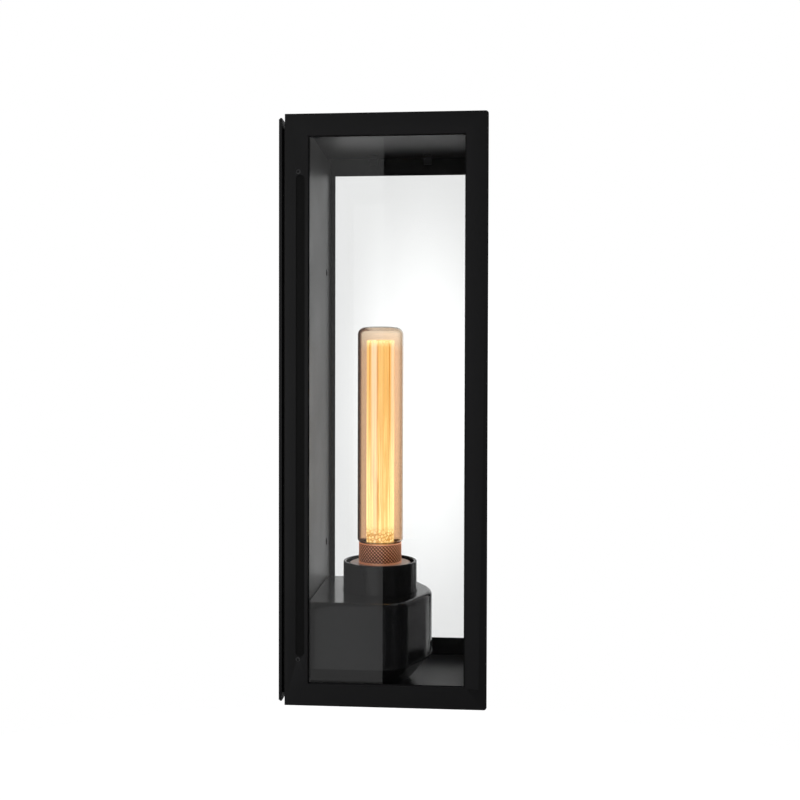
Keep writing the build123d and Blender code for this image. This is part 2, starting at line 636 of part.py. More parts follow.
def holder_screws():
    """Two screws through the ceramic's flange and the housing into the cup."""
    screws = []
    low = HOUSING_CEILING_Z - HOLDER_FLANGE
    for side in (-1, 1):
        x = side * HOLDER_SCREW_X
        head = disc(2 * M3_R - 0.2, low - 2.0, low, x)
        screws.append(head + disc(M3_R - FIT_GAP, low, CUP_FLOOR_Z - FIT_GAP, x))
    return screws


# ---- Wiring -------------------------------------------------------------------------------------
def terminal_block():
    """Three-way terminal block on the base's floor, with a wire entry and screw well for each way."""
    x = (-TERMINAL_LENGTH / 2, TERMINAL_LENGTH / 2)
    y = (TERMINAL_Y - TERMINAL_DEPTH / 2, TERMINAL_Y + TERMINAL_DEPTH / 2)
    body = block(x, y, (HOUSING_FLOOR_Z, TERMINAL_TOP_Z))
    for way in (-1, 0, 1):
        for row in (-1, 1):
            place = (way * TERMINAL_PITCH, TERMINAL_Y + row * TERMINAL_DEPTH / 4)
            body -= disc(TERMINAL_SCREW_R + FIT_GAP, TERMINAL_TOP_Z - 6, TERMINAL_TOP_Z + 1, *place)
        entry_z = HOUSING_FLOOR_Z + TERMINAL_HEIGHT / 4
        entry = rod_y(WIRE_R + 0.4, y[1] + 1, y[1] - 5, way * TERMINAL_PITCH, entry_z)
        body -= entry
    return body


def terminal_screws():
    """Slotted brass screws down in the terminal block's wells."""
    screws = []
    for way in (-1, 0, 1):
        place = (way * TERMINAL_PITCH, TERMINAL_Y + TERMINAL_DEPTH / 4)
        screw = disc(TERMINAL_SCREW_R, TERMINAL_TOP_Z - 6, TERMINAL_TOP_Z - 1.5, *place)
        slot = Pos(*place, TERMINAL_TOP_Z - 1.5) * Box(2 * TERMINAL_SCREW_R + 1, 0.6, 1.2)
        screws.append(screw - slot)
    return screws


def terminal_exit(way):
    """Point where a wire stands in its terminal's front well."""
    return (way * TERMINAL_PITCH, TERMINAL_Y - TERMINAL_DEPTH / 4)


def live_wire():
    """Wire from the terminal block to the centre contact."""
    x, y = terminal_exit(-1)
    turn_z = HOLDER_FOOT_Z - 9
    low = TERMINAL_TOP_Z - 6
    return wire([(x, y, low), (x, y, turn_z), (0, AXIS_Y, turn_z), (0, AXIS_Y, HOLDER_FOOT_Z - 2)])


def neutral_wire():
    """Wire from the terminal block to the brass sleeve's rivet."""
    x, y = terminal_exit(1)
    turn_z = HOLDER_FOOT_Z - 9
    low = TERMINAL_TOP_Z - 6
    return wire(
        [(x, y, low), (x, y, turn_z), (SIDE_CONTACT_X, AXIS_Y, turn_z), (SIDE_CONTACT_X, AXIS_Y, HOLDER_FOOT_Z - 2)]
    )


def earth_stud():
    """Threaded stud held in the tray's face, inside the housing."""
    x, z = EARTH_STUD_X, EARTH_STUD_Z
    return rod_y(M4_R, TRAY_BACK_Y, TRAY_FACE_Y - EARTH_STUD_LENGTH, x, z)


def earth_nut():
    """Hexagon nut that clamps the earth lug on its stud."""
    nut = hex_prism(M4_NUT_AF, M4_NUT) - Pos(0, 0, M4_NUT / 2) * Cylinder(M4_R + FIT_GAP, 2 * M4_NUT)
    return Pos(EARTH_STUD_X, TRAY_FACE_Y - LUG, EARTH_STUD_Z) * Rot(X=90) * nut


def earth_wire():
    """Wire and ring lug from the terminal block to the earth stud."""
    x, y = terminal_exit(0)
    low = TERMINAL_TOP_Z - 6
    stud_x, stud_z = EARTH_STUD_X, EARTH_STUD_Z
    face = TRAY_FACE_Y
    lug = rod_y(LUG_R, face, face - LUG, stud_x, stud_z)
    lug += block((stud_x - LUG_R - 4, stud_x), (face, face - LUG), (stud_z - 1.5, stud_z + 1.5))
    lug -= rod_y(M4_R + FIT_GAP, face + 1, face - LUG - 1, stud_x, stud_z)
    join = (stud_x - LUG_R - 3, face - WIRE_R, stud_z)
    turn_z = stud_z - 3
    run = wire([(x, y, low), (x, y, turn_z), (x + 8, y + 9, turn_z + 1), (join[0] - 4, join[1] - 3, stud_z), join])
    return lug + run


# ---- Bulb ---------------------------------------------------------------------------------------
def glass_envelope():
    """Slim tube of glass with a flat rounded top, drawn in to its neck."""
    top, shoulder = BULB_TOP_Z, BULB_SHOULDER_Z
    wall = BULB_GLASS
    foot = shoulder - NECK_INTO_COLLAR + LED_BOARD
    points = [
        (0, top), (BULB_R, top), (BULB_R, shoulder), (NECK_R, shoulder), (NECK_R, foot),
        (NECK_R - wall, foot), (NECK_R - wall, shoulder + wall), (BULB_R - wall, shoulder + wall),
        (BULB_R - wall, top - wall), (0, top - wall)
    ]
    corner, bend = BULB_TOP_CORNER_R, BULB_SHOULDER_R
    radii = [0, corner, bend - wall, 0, 0, 0, 0, bend - 2 * wall, corner - wall, 0]
    return turned(points, radii)


def light_guide():
    """Clear tube that carries the light up the bulb."""
    return turned(
        [(GUIDE_BORE_R, LED_BOARD_TOP_Z), (GUIDE_R, LED_BOARD_TOP_Z), (GUIDE_R, GUIDE_TOP_Z), (GUIDE_BORE_R, GUIDE_TOP_Z)],
        [0, 0, 0.8, 0.8],
    )


def led_board():
    """Round board of light-emitting diodes under the light guide."""
    return disc(LED_BOARD_R, LED_BOARD_TOP_Z - LED_BOARD, LED_BOARD_TOP_Z)


def driver_board():
    """Upright driver board inside the collar and cap."""
    top = LED_BOARD_TOP_Z - LED_BOARD
    return block((-8, 8), (AXIS_Y - 0.8, AXIS_Y + 0.8), (CAP_FOOT_Z + 2, top))


def knurled_collar():
    """Copper-coloured collar that joins the glass to the cap."""
    inner = COLLAR_R - COLLAR_WALL
    cap_inner = CAP_ROOT_R - CAP_SHEET
    return turned([
        (cap_inner, COLLAR_BASE_Z), (COLLAR_R, COLLAR_BASE_Z), (COLLAR_R, BULB_SHOULDER_Z),
        (inner, BULB_SHOULDER_Z), (inner, COLLAR_BASE_Z + COLLAR_WALL), (cap_inner, COLLAR_BASE_Z + COLLAR_WALL)
    ])


def bulb_cap():
    """Rolled screw cap, drawn with ring threads of the right pitch."""
    points = [(CAP_ROOT_R - CAP_SHEET, COLLAR_BASE_Z), (CAP_ROOT_R, COLLAR_BASE_Z)]
    for turn in range(THREAD_TURNS):
        z = COLLAR_BASE_Z - THREAD_PITCH * (turn + 0.25)
        points += [(CAP_ROOT_R, z), (CAP_CREST_R, z - THREAD_PITCH * 0.35), (CAP_CREST_R, z - THREAD_PITCH * 0.5)]
        points += [(CAP_ROOT_R, z - THREAD_PITCH * 0.85)]
    points += [(CAP_ROOT_R, CAP_FOOT_Z), (CAP_ROOT_R - CAP_SHEET, CAP_FOOT_Z)]
    return turned(points)


def cap_insulator():
    """Dark insulator between the cap and its tip."""
    return turned([
        (TIP_R / 2, INSULATOR_FOOT_Z), (INSULATOR_FOOT_R, INSULATOR_FOOT_Z), (CAP_ROOT_R, CAP_FOOT_Z),
        (TIP_R / 2, CAP_FOOT_Z)
    ])


def tip_contact():
    """Domed contact at the cap's end."""
    cap = turned([(0, TIP_Z), (TIP_R, TIP_Z), (TIP_R, INSULATOR_FOOT_Z), (0, INSULATOR_FOOT_Z)], [0, 1.5, 0, 0])
    return cap + disc(TIP_R / 2, INSULATOR_FOOT_Z, CAP_FOOT_Z)


def neck_seal():
    """White rubber seal between the lampholder and the bulb's collar."""
    inner = COLLAR_R + SEAL_GAP
    top = SEAL_BASE_Z + SEAL_THICKNESS
    return turned(
        [(inner, SEAL_BASE_Z), (SEAL_R, SEAL_BASE_Z), (SEAL_R, top), (inner, top)], [0, 0.6, 1.2, 0]
    )


# ---- Write every sub-part -----------------------------------------------------------------------
PARTS = {
    "left_side_panel": side_panel(),
    "right_side_panel": mirror_x(side_panel()),
    "front_frame": front_frame(),
    "top_plate": top_plate(),
    "bottom_plate": bottom_plate(),
    "left_glass": side_pane(),
    "right_glass": mirror_x(side_pane()),
    "front_glass": front_pane(),
    "left_glass_tape": side_tape(),
    "right_glass_tape": mirror_x(side_tape()),
    "front_glass_tape": front_tape(),
    "left_glass_clips": side_clips(),
    "right_glass_clips": [mirror_x(c) for c in side_clips()],
    "front_glass_clips": front_clips(),
    "weld_nuts": weld_nuts(),
    "back_tray": back_tray(),
    "wall_gasket": wall_gasket(),
    "wall_spacers": wall_spacers(),
    "cable_grommet": cable_grommet(),
    "housing_shell": housing_shell(),
    "housing_base": housing_base(),
    "housing_gasket": housing_gasket(),
    "housing_screws": housing_screws(),
    "lampholder_cup": lampholder_cup(),
    "lampholder_body": lampholder_body(),
    "screw_shell": screw_shell(),
    "centre_contact": centre_contact(),
    "side_contact": side_contact(),
    "holder_screws": holder_screws(),
    "terminal_block": terminal_block(),
    "terminal_screws": terminal_screws(),
    "live_wire": live_wire(),
    "neutral_wire": neutral_wire(),
    "earth_wire": earth_wire(),
    "earth_stud": earth_stud(),
    "earth_nut": earth_nut(),
    "neck_seal": neck_seal(),
    "glass_envelope": glass_envelope(),
    "light_guide": light_guide(),
    "led_board": led_board(),
    "driver_board": driver_board(),
    "knurled_collar": knurled_collar(),
    "bulb_cap": bulb_cap(),
    "cap_insulator": cap_insulator(),
    "tip_contact": tip_contact(),
}
for side, side_name in ((-1, "left"), (1, "right")):
    for end, end_name in ((1, "upper"), (-1, "lower")):
        PARTS[f"{side_name}_{end_name}_lock_screw"] = lock_screw(side, end)

os.makedirs("parts", exist_ok=True)
for name, shape in PARTS.items():
    solid = Compound(children=shape) if isinstance(shape, list) else shape
    export_step(solid, f"parts/{name}.step")
print(len(PARTS), "sub-parts written")
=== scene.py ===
"""Outdoor wall lantern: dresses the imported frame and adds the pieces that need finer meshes."""

import logging
import math
import random
from dataclasses import dataclass, field
from enum import Enum
from typing import Callable, Optional, Sequence

import bmesh
import bpy
from mathutils import Matrix, Vector


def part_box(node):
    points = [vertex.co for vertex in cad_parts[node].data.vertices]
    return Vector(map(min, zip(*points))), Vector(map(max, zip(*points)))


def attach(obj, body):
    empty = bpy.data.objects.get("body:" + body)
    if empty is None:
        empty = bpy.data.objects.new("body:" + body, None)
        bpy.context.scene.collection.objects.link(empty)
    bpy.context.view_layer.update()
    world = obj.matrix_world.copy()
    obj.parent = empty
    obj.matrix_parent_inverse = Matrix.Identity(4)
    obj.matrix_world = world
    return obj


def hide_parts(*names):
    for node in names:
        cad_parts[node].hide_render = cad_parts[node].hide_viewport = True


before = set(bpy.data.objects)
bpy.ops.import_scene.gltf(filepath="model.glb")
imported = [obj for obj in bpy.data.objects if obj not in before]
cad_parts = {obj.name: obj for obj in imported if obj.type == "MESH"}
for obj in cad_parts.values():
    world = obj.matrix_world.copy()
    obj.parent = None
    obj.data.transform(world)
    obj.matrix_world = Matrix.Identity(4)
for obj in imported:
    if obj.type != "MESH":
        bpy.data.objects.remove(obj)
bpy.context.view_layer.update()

LOG = logging.getLogger("lantern")
MM = 0.001

Colour = tuple[float, float, float]
Point = tuple[float, float, float]
Pair = tuple[float, float]             # two values, such as a radius and a height on a profile
Reach = Callable[[float], float]       # a radius for each angle round the bulb's axis
Socket = bpy.types.NodeSocket


def node_box(name: str) -> tuple[Vector, Vector]:
    """Returns the lowest and highest corners of a frame node."""
    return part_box(name)


def upright_axis(name: str) -> Vector:
    """Returns the point at height 0 on the upright axis of a round frame node."""
    low, high = node_box(name)
    return Vector(((low.x + high.x) / 2, (low.y + high.y) / 2, 0.0))


def half_width(name: str) -> float:
    """Returns half of a frame node's size along X."""
    low, high = node_box(name)
    return (high.x - low.x) / 2


AXIS = upright_axis("glass_envelope")
BULB_TOP = node_box("glass_envelope")[1].z
GUIDE_FOOT, GUIDE_TOP = (corner.z for corner in node_box("light_guide"))
COLLAR_FOOT = node_box("knurled_collar")[0].z
COLLAR_RADIUS = half_width("knurled_collar")
PANEL_FACE, PANEL_REAR = node_box("right_side_panel")[1].xy
KNURL_DEPTH = 0.6 * MM


def round_axis(radius: float, angle: float, height: float) -> Point:
    """Returns the point at a radius, an angle and a height round the bulb's axis."""
    return (AXIS.x + radius * math.cos(angle), AXIS.y + radius * math.sin(angle), height)


# ---- Node graphs --------------------------------------------------------------------------------
class Graph:
    """Short words for building one material's node graph."""

    def __init__(self, name: str) -> None:
        """Starts an empty material.

        Args:
            name: the material's name.
        """
        self.material = bpy.data.materials.new(name)
        self.material.use_nodes = True
        self.tree = self.material.node_tree
        self.tree.nodes.clear()
        self.output = self.tree.nodes.new("ShaderNodeOutputMaterial")
        self._object_coordinates: Optional[Socket] = None

    def add(self, kind: str, **values: object) -> bpy.types.Node:
        """Adds a node.

        Args:
            kind: the node's type, without its "ShaderNode" prefix.
            values: node properties to set.

        Returns:
            The new node.
        """
        node = self.tree.nodes.new("ShaderNode" + kind)
        for key, value in values.items():
            setattr(node, key, value)
        return node

    def put(self, socket: Socket, value: object) -> None:
        """Links or sets a socket.

        Args:
            socket: the input to feed.
            value: another socket, or a plain value.
        """
        if isinstance(value, Socket):
            self.tree.links.new(value, socket)
        else:
            socket.default_value = value

    def place(self) -> Socket:
        """Finds the piece's own coordinates, making their node the first time.

        Returns:
            The coordinates, in metres.
        """
        if self._object_coordinates is None:
            self._object_coordinates = self.add("TexCoord").outputs["Object"]
        return self._object_coordinates

    def stretched(self, scale: Point, shift: Point = (0.0, 0.0, 0.0)) -> Socket:
        """Scales the piece's own coordinates.

        Args:
            scale: the factor along each axis.
            shift: what is added before scaling.

        Returns:
            The scaled coordinates.
        """
        mapping = self.add("Mapping", vector_type="POINT")
        self.put(mapping.inputs["Vector"], self.place())
        mapping.inputs["Scale"].default_value = scale
        mapping.inputs["Location"].default_value = tuple(s * k for s, k in zip(shift, scale))
        return mapping.outputs["Vector"]

    def noise(
        self, scale: float, detail: float = 3.0, rough: float = 0.5, where: Optional[Socket] = None
    ) -> Socket:
        """Makes a soft noise.

        Args:
            scale: waves in a metre, or in a unit of where.
            detail: how many finer layers.
            rough: how strong those layers are.
            where: coordinates to use in place of the piece's own.

        Returns:
            The noise value, around 0.5.
        """
        node = self.add("TexNoise")
        self.put(node.inputs["Vector"], where if where is not None else self.place())
        node.inputs["Scale"].default_value = scale
        node.inputs["Detail"].default_value = detail
        node.inputs["Roughness"].default_value = rough
        return node.outputs["Fac"]

    def maths(self, operation: str, first: object, second: object = 0.0, clamp: bool = False) -> Socket:
        """Does arithmetic on two values.

        Args:
            operation: the Math node's operation.
            first: the first value or socket.
            second: the second value or socket.
            clamp: whether the result is kept between 0 and 1.

        Returns:
            The result.
        """
        node = self.add("Math", operation=operation, use_clamp=clamp)
        self.put(node.inputs[0], first)
        self.put(node.inputs[1], second)
        return node.outputs[0]

    def spread(
        self, value: object, low: float, high: float, start: float = 0.0, end: float = 1.0
    ) -> Socket:
        """Maps a value from one range to another, clamped.

        Args:
            value: the value to map.
            low: the result at start.
            high: the result at end.
            start: where the range of value begins.
            end: where the range of value ends.

        Returns:
            The mapped value.
        """
        node = self.add("MapRange")
        self.put(node.inputs["Value"], value)
        node.inputs["From Min"].default_value = start
        node.inputs["From Max"].default_value = end
        node.inputs["To Min"].default_value = low
        node.inputs["To Max"].default_value = high
        return node.outputs["Result"]

    def ramp(self, value: object, stops: Sequence[tuple[float, Colour]]) -> Socket:
        """Turns a value into a colour.

        Args:
            value: the value between 0 and 1.
            stops: pairs of place and colour.

        Returns:
            The colour.
        """
        node = self.add("ValToRGB")
        elements = node.color_ramp.elements
        while len(elements) < len(stops):
            elements.new(0.5)
        for element, (place, colour) in zip(elements, stops):
            element.position = place
            element.color = (*colour, 1.0)
        self.put(node.inputs["Fac"], value)
        return node.outputs["Color"]

    def bump(
        self, height: object, distance: float, strength: float = 1.0, normal: Optional[Socket] = None
    ) -> Socket:
        """Turns a height into a bumped normal.

        Args:
            height: the height value.
            distance: its size in metres.
            strength: the share of it that shows.
            normal: a bumped normal to add to.

        Returns:
            The normal.
        """
        node = self.add("Bump")
        self.put(node.inputs["Height"], height)
        node.inputs["Distance"].default_value = distance
        node.inputs["Strength"].default_value = strength
        if normal is not None:
            self.put(node.inputs["Normal"], normal)
        return node.outputs["Normal"]

    def edges(self, low: float, high: float) -> Socket:
        """Finds the piece's worn outer edges.

        Args:
            low: the pointiness where wear begins.
            high: the pointiness where it is full.

        Returns:
            The wear, from 0 to 1.
        """
        pointed = self.add("NewGeometry").outputs["Pointiness"]
        return self.spread(pointed, 0.0, 1.0, low, high)

    def parts(self, vector: object) -> tuple[Socket, Socket, Socket]:
        """Takes a vector apart.

        Args:
            vector: the vector.

        Returns:
            Its three values.
        """
        node = self.add("SeparateXYZ")
        self.put(node.inputs[0], vector)
        return node.outputs[0], node.outputs[1], node.outputs[2]

    def from_axis(self) -> tuple[Socket, Socket, Socket]:
        """Returns the place along X and Y from the bulb's axis, and the height."""
        x, y, z = self.parts(self.place())
        return self.maths("SUBTRACT", x, AXIS.x), self.maths("SUBTRACT", y, AXIS.y), z

    def radial(self) -> Socket:
        """Measures out from the bulb's axis.

        Returns:
            The distance.
        """
        x, y, _ = self.from_axis()
        squares = self.maths("ADD", self.maths("MULTIPLY", x, x), self.maths("MULTIPLY", y, y))
        return self.maths("SQRT", squares)

    def near(self, value: object, middle: float, reach: float) -> Socket:
        """Marks where a value is close to another.

        Args:
            value: the value.
            middle: what it is compared with.
            reach: how far off it may be.

        Returns:
            1 where it is close, and 0 elsewhere.
        """
        node = self.add("Math", operation="COMPARE")
        for socket, given in zip(node.inputs, (value, middle, reach)):
            self.put(socket, given)
        return node.outputs[0]

    def blend(self, share: object, first: object, second: object) -> Socket:
        """Mixes two colours.

        Args:
            share: how much of the second, from 0 to 1.
            first: the first colour or socket.
            second: the second colour or socket.

        Returns:
            The mixed colour.
        """
        node = self.add("Mix", data_type="RGBA", clamp_factor=True)
        self.put(node.inputs[0], share)
        for socket, value in ((node.inputs[6], first), (node.inputs[7], second)):
            self.put(socket, (*value, 1.0) if isinstance(value, tuple) else value)
        return node.outputs[2]

    def principled(self, **inputs: object) -> bpy.types.Node:
        """Adds the main shader.

        Args:
            inputs: socket names in lower case with _ for a space, and their values.

        Returns:
            The shader node, already linked to the output.
        """
        shader = self.add("BsdfPrincipled")
        for key, value in inputs.items():
            name = next(s.name for s in shader.inputs if s.name.lower().replace(" ", "_") == key)
            if isinstance(value, tuple) and len(value) == 3 and name != "Normal":
                value = (*value, 1.0)
            self.put(shader.inputs[name], value)
        self.tree.links.new(shader.outputs[0], self.output.inputs["Surface"])
        return shader

    def lamps_pass(self, shader: bpy.types.Node, tint: Colour) -> None:
        """Lets lamp light straight through a glass shader, so that it lights what stands behind.

        Args:
            shader: the glass shader.
            tint: the colour that passes.
        """
        clear = self.add("BsdfTransparent")
        clear.inputs["Color"].default_value = (*tint, 1.0)
        mix = self.add("MixShader")
        path = self.add("LightPath")
        self.tree.links.new(path.outputs["Is Shadow Ray"], mix.inputs[0])
        self.tree.links.new(shader.outputs[0], mix.inputs[1])
        self.tree.links.new(clear.outputs[0], mix.inputs[2])
        self.tree.links.new(mix.outputs[0], self.output.inputs["Surface"])


# ---- Finishes -----------------------------------------------------------------------------------
@dataclass(frozen=True)
class PowderCoat:
    """Fine-textured satin black powder coat on folded sheet, with an optional post groove whose sunk floor
    is darkened as painted shade.
    """

    name: str = "black_powder_coat"
    grain: float = 2600.0
    grain_height: float = 0.06 * MM
    colour: Colour = (0.0105, 0.0105, 0.0112)
    wear_gain: float = 2.6
    rough_low: float = 0.37
    rough_high: float = 0.44
    grooved: bool = False
    groove_depth: float = 0.4 * MM
    groove_from_edge: float = 10.0 * MM
    groove_half: float = 3.0 * MM
    # share of the coat's colour left on the groove floor, a painted shade
    groove_painted_shade: float = 0.4
    groove_rough: float = 0.6

    def make(self) -> bpy.types.Material:
        """Builds the finish's node graph.

        Returns:
            The material.
        """
        graph = Graph(self.name)
        grain = graph.noise(self.grain, 4.0, 0.6)
        rough = graph.spread(graph.noise(22.0, 3.0), self.rough_low, self.rough_high, 0.3, 0.7)
        worn = tuple(c * self.wear_gain for c in self.colour)
        colour = graph.ramp(graph.edges(0.53, 0.62), [(0.0, self.colour), (1.0, worn)])
        # Painted shade: the post groove's sunk floor is coloured darker than the coat round it, and made
        # rougher.
        if self.grooved:
            x, y, _ = graph.parts(graph.place())
            sunk = graph.near(graph.maths("ABSOLUTE", x), PANEL_FACE - self.groove_depth, 0.2 * MM)
            inside = graph.near(y, PANEL_REAR - self.groove_from_edge, self.groove_half)
            floor = graph.maths("MULTIPLY", sunk, inside)
            colour = graph.blend(floor, colour, tuple(c * self.groove_painted_shade for c in self.colour))
            rough = graph.maths("MAXIMUM", rough, graph.maths("MULTIPLY", floor, self.groove_rough))
        slow = graph.bump(graph.noise(420.0, 2.0), self.grain_height * 0.8, 0.5)
        normal = graph.bump(grain, self.grain_height, 0.8, slow)
        graph.principled(base_color=colour, roughness=rough, normal=normal, specular_ior_level=0.5)
        return graph.material


@dataclass(frozen=True)
class Moulding:
    """Moulded black plastic, glossy or half-glossy."""

    name: str
    colour: Colour = (0.003, 0.003, 0.0033)
    rough_low: float = 0.11
    rough_high: float = 0.17
    ripple: float = 0.00003

    def make(self) -> bpy.types.Material:
        """Builds the finish's node graph.

        Returns:
            The material.
        """
        graph = Graph(self.name)
        smears = graph.noise(46.0, 5.0, 0.62)
        rough = graph.spread(smears, self.rough_low, self.rough_high, 0.32, 0.68)
        flow = graph.noise(70.0, 2.0, where=graph.stretched((1.0, 1.0, 0.35)))
        fine = graph.bump(graph.noise(3200.0, 2.0), 0.000004, 0.5)
        normal = graph.bump(flow, self.ripple, 0.5, fine)
        tone = tuple(c * 1.7 for c in self.colour)
        colour = graph.ramp(graph.noise(30.0, 4.0), [(0.3, self.colour), (0.75, tone)])
        graph.principled(base_color=colour, roughness=rough, normal=normal, specular_ior_level=0.5)
        return graph.material


@dataclass(frozen=True)
class PaneGlass:
    """Clear float glass that lets the lamps light what is behind it."""

    name: str = "clear_pane_glass"
    tint: Colour = (0.952, 0.957, 0.955)

    def make(self) -> bpy.types.Material:
        """Builds the finish's node graph.

        Returns:
            The material.
        """
        graph = Graph(self.name)
        haze = graph.noise(9.0, 5.0, 0.6)
        rough = graph.spread(haze, 0.0, 0.012, 0.45, 0.8)
        normal = graph.bump(graph.noise(5.0, 1.0, where=graph.stretched((1.0, 1.0, 0.4))), 0.00012, 0.35)
        shader = graph.principled(
            base_color=self.tint, roughness=rough, normal=normal, transmission_weight=1.0, ior=1.5
        )
        graph.lamps_pass(shader, self.tint)
        return graph.material


@dataclass(frozen=True)
class AmberGlass:
    """Rose-amber coated glass of the bulb, paler towards its top as a painted highlight, with a painted dark
    line where its edges are seen at a grazing angle.
    """

    name: str = "amber_bulb_glass"
    tint: Colour = (0.90, 0.71, 0.55)
    deep: Colour = (0.885, 0.672, 0.495)
    # pale cream of the painted highlight at the glass's top
    crown_highlight: Colour = (0.96, 0.85, 0.73)
    # dark brown of the painted shade line along the glass's grazing edges
    rim: Colour = (0.10, 0.045, 0.028)
    crown_highlight_low: float = BULB_TOP - 17.0 * MM
    crown_highlight_high: float = BULB_TOP - 2.0 * MM
    edge_shade_low: float = BULB_TOP - 2.0 * MM
    edge_shade_high: float = BULB_TOP - 0.5 * MM

    def make(self) -> bpy.types.Material:
        """Builds the finish's node graph.

        Returns:
            The material.
        """
        graph = Graph(self.name)
        _, across, height = graph.from_axis()
        streaks = graph.noise(40.0, 2.0, where=graph.stretched((1.0, 1.0, 0.12)))
        lower = graph.spread(height, 1.0, 0.0, GUIDE_FOOT + 6.0 * MM, GUIDE_TOP + 2.0 * MM)
        share = graph.maths("MULTIPLY", lower, graph.spread(streaks, 0.75, 1.0, 0.3, 0.7))
        colour = graph.blend(share, self.tint, self.deep)
        # Painted highlight: the glass turns pale cream towards its top.
        pale = graph.spread(height, 0.0, 1.0, self.crown_highlight_low, self.crown_highlight_high)
        colour = graph.blend(pale, colour, self.crown_highlight)
        # Painted shade: a dark brown line where the glass is seen at a grazing angle, strong on the +Y side
        # and near the top, faint on the -Y side.
        grazing = graph.spread(graph.add("LayerWeight").outputs["Facing"], 0.0, 1.0, 0.46, 0.60)
        side_edge_shade = graph.spread(across, 0.05, 1.0, 4.0 * MM, 10.0 * MM)
        top_edge_shade = graph.spread(height, 0.0, 0.6, self.edge_shade_low, self.edge_shade_high)
        edge_shade_weight = graph.maths("MAXIMUM", side_edge_shade, top_edge_shade)
        colour = graph.blend(graph.maths("MULTIPLY", grazing, edge_shade_weight), colour, self.rim)
        rough = graph.spread(graph.noise(140.0, 3.0), 0.0, 0.012, 0.45, 0.8)
        shader = graph.principled(base_color=colour, roughness=rough, transmission_weight=1.0, ior=1.25)
        graph.lamps_pass(shader, self.tint)
        return graph.material


@dataclass(frozen=True)
class LitAcrylic:
    """Engraved light guide, lit from its foot: four clear flutes between amber ones."""

    name: str = "lit_light_guide"
    strength: float = 1.03
    flute_turn: float = 66.0
    flute_angle: float = 90.0
    amber: Colour = (1.08, 0.80, 0.33)
    dark: Colour = (0.78, 0.42, 0.09)
    gold: Colour = (1.10, 0.90, 0.42)
    cream: Colour = (1.12, 1.02, 0.80)
    hot: Colour = (1.45, 1.42, 0.82)

    def make(self) -> bpy.types.Material:
        """Builds the finish's node graph.

        Returns:
            The material.
        """
        graph = Graph(self.name)
        x, y, z = graph.from_axis()
        turn = graph.maths("ARCTAN2", graph.maths("MULTIPLY", y, -1.0), graph.maths("MULTIPLY", x, -1.0))
        waves = graph.noise(70.0, 2.0, where=graph.stretched((1.0, 1.0, 0.3)))
        wobble = graph.spread(waves, -0.012, 0.012, 0.3, 0.7)
        flute = graph.maths("MULTIPLY", turn, 180.0 / (math.pi * self.flute_angle))
        flute = graph.maths("ADD", flute, self.flute_turn / self.flute_angle)
        flute = graph.maths("FRACT", graph.maths("ADD", flute, wobble))
        stops = [
            (0.0, self.amber), (0.13, self.amber), (0.17, self.gold), (0.20, self.dark),
            (0.26, self.dark), (0.31, self.gold), (0.38, self.cream), (0.60, self.cream),
            (0.67, self.dark), (0.74, self.amber),
        ]
        colour = graph.ramp(flute, stops)
        fine = graph.noise(950.0, 3.0, 0.65, graph.stretched((1.0, 1.0, 0.02), tuple(-a for a in AXIS)))
        low_down = graph.spread(z, 1.0, 0.0, GUIDE_FOOT + 10.0 * MM, GUIDE_FOOT + 115.0 * MM)
        facing = graph.add("LayerWeight").outputs["Facing"]
        sides = graph.spread(facing, 0.0, 0.85, 0.2, 0.6)
        streaks = graph.maths("ADD", graph.spread(fine, 0.0, 1.0, 0.47, 0.60), sides)
        glare = graph.maths("MULTIPLY", streaks, low_down, clamp=True)
        colour = graph.blend(glare, colour, self.hot)
        cells = graph.add("TexVoronoi", feature="DISTANCE_TO_EDGE")
        graph.put(cells.inputs["Vector"], graph.place())
        cells.inputs["Scale"].default_value = 420.0
        to_edge = cells.outputs["Distance"]
        beaded = graph.spread(z, 1.0, 0.0, GUIDE_FOOT + 9.0 * MM, GUIDE_FOOT + 15.0 * MM)
        beads = graph.maths("MULTIPLY", beaded, graph.spread(to_edge, 1.0, 0.0, 0.02, 0.22))
        colour = graph.blend(beads, colour, tuple(c * 0.8 for c in self.dark))
        rim = graph.spread(z, 0.0, 1.0, GUIDE_TOP - 5.0 * MM, GUIDE_TOP - 1.0 * MM)
        sparkle = graph.maths("MULTIPLY", rim, graph.spread(to_edge, 0.0, 1.0, 0.02, 0.14))
        colour = graph.blend(sparkle, colour, self.hot)
        light = graph.maths("MULTIPLY", graph.spread(fine, 0.86, 1.05, 0.35, 0.6), self.strength)
        normal = graph.bump(fine, 0.00008, 0.6)
        shader = graph.principled(
            base_color=(0.32, 0.18, 0.06), roughness=0.10, transmission_weight=0.2, ior=1.35,
            normal=normal, emission_color=colour, emission_strength=light,
        )
        graph.lamps_pass(shader, (1.0, 0.93, 0.80))
        return graph.material


@dataclass(frozen=True)
class EngravedLight:
    """Glowing engraved line or dot on the light guide."""

    name: str = "glowing_engraving"
    strength: float = 1.5

    def make(self) -> bpy.types.Material:
        """Builds the finish's node graph.

        Returns:
            The material.
        """
        graph = Graph(self.name)
        flicker = graph.noise(900.0, 3.0, 0.6, graph.stretched((1.0, 1.0, 0.06)))
        _, _, height = graph.from_axis()
        climb = graph.spread(height, 1.0, 0.5, GUIDE_FOOT, GUIDE_TOP)
        light = graph.maths("MULTIPLY", graph.spread(flicker, 0.35, 1.0, 0.35, 0.65), climb)
        colour = graph.ramp(light, [(0.1, (1.0, 0.58, 0.18)), (0.9, (1.0, 0.88, 0.52))])
        graph.principled(
            base_color=(1.0, 0.86, 0.55), roughness=0.35,
            emission_color=colour, emission_strength=graph.maths("MULTIPLY", light, self.strength),
        )
        return graph.material


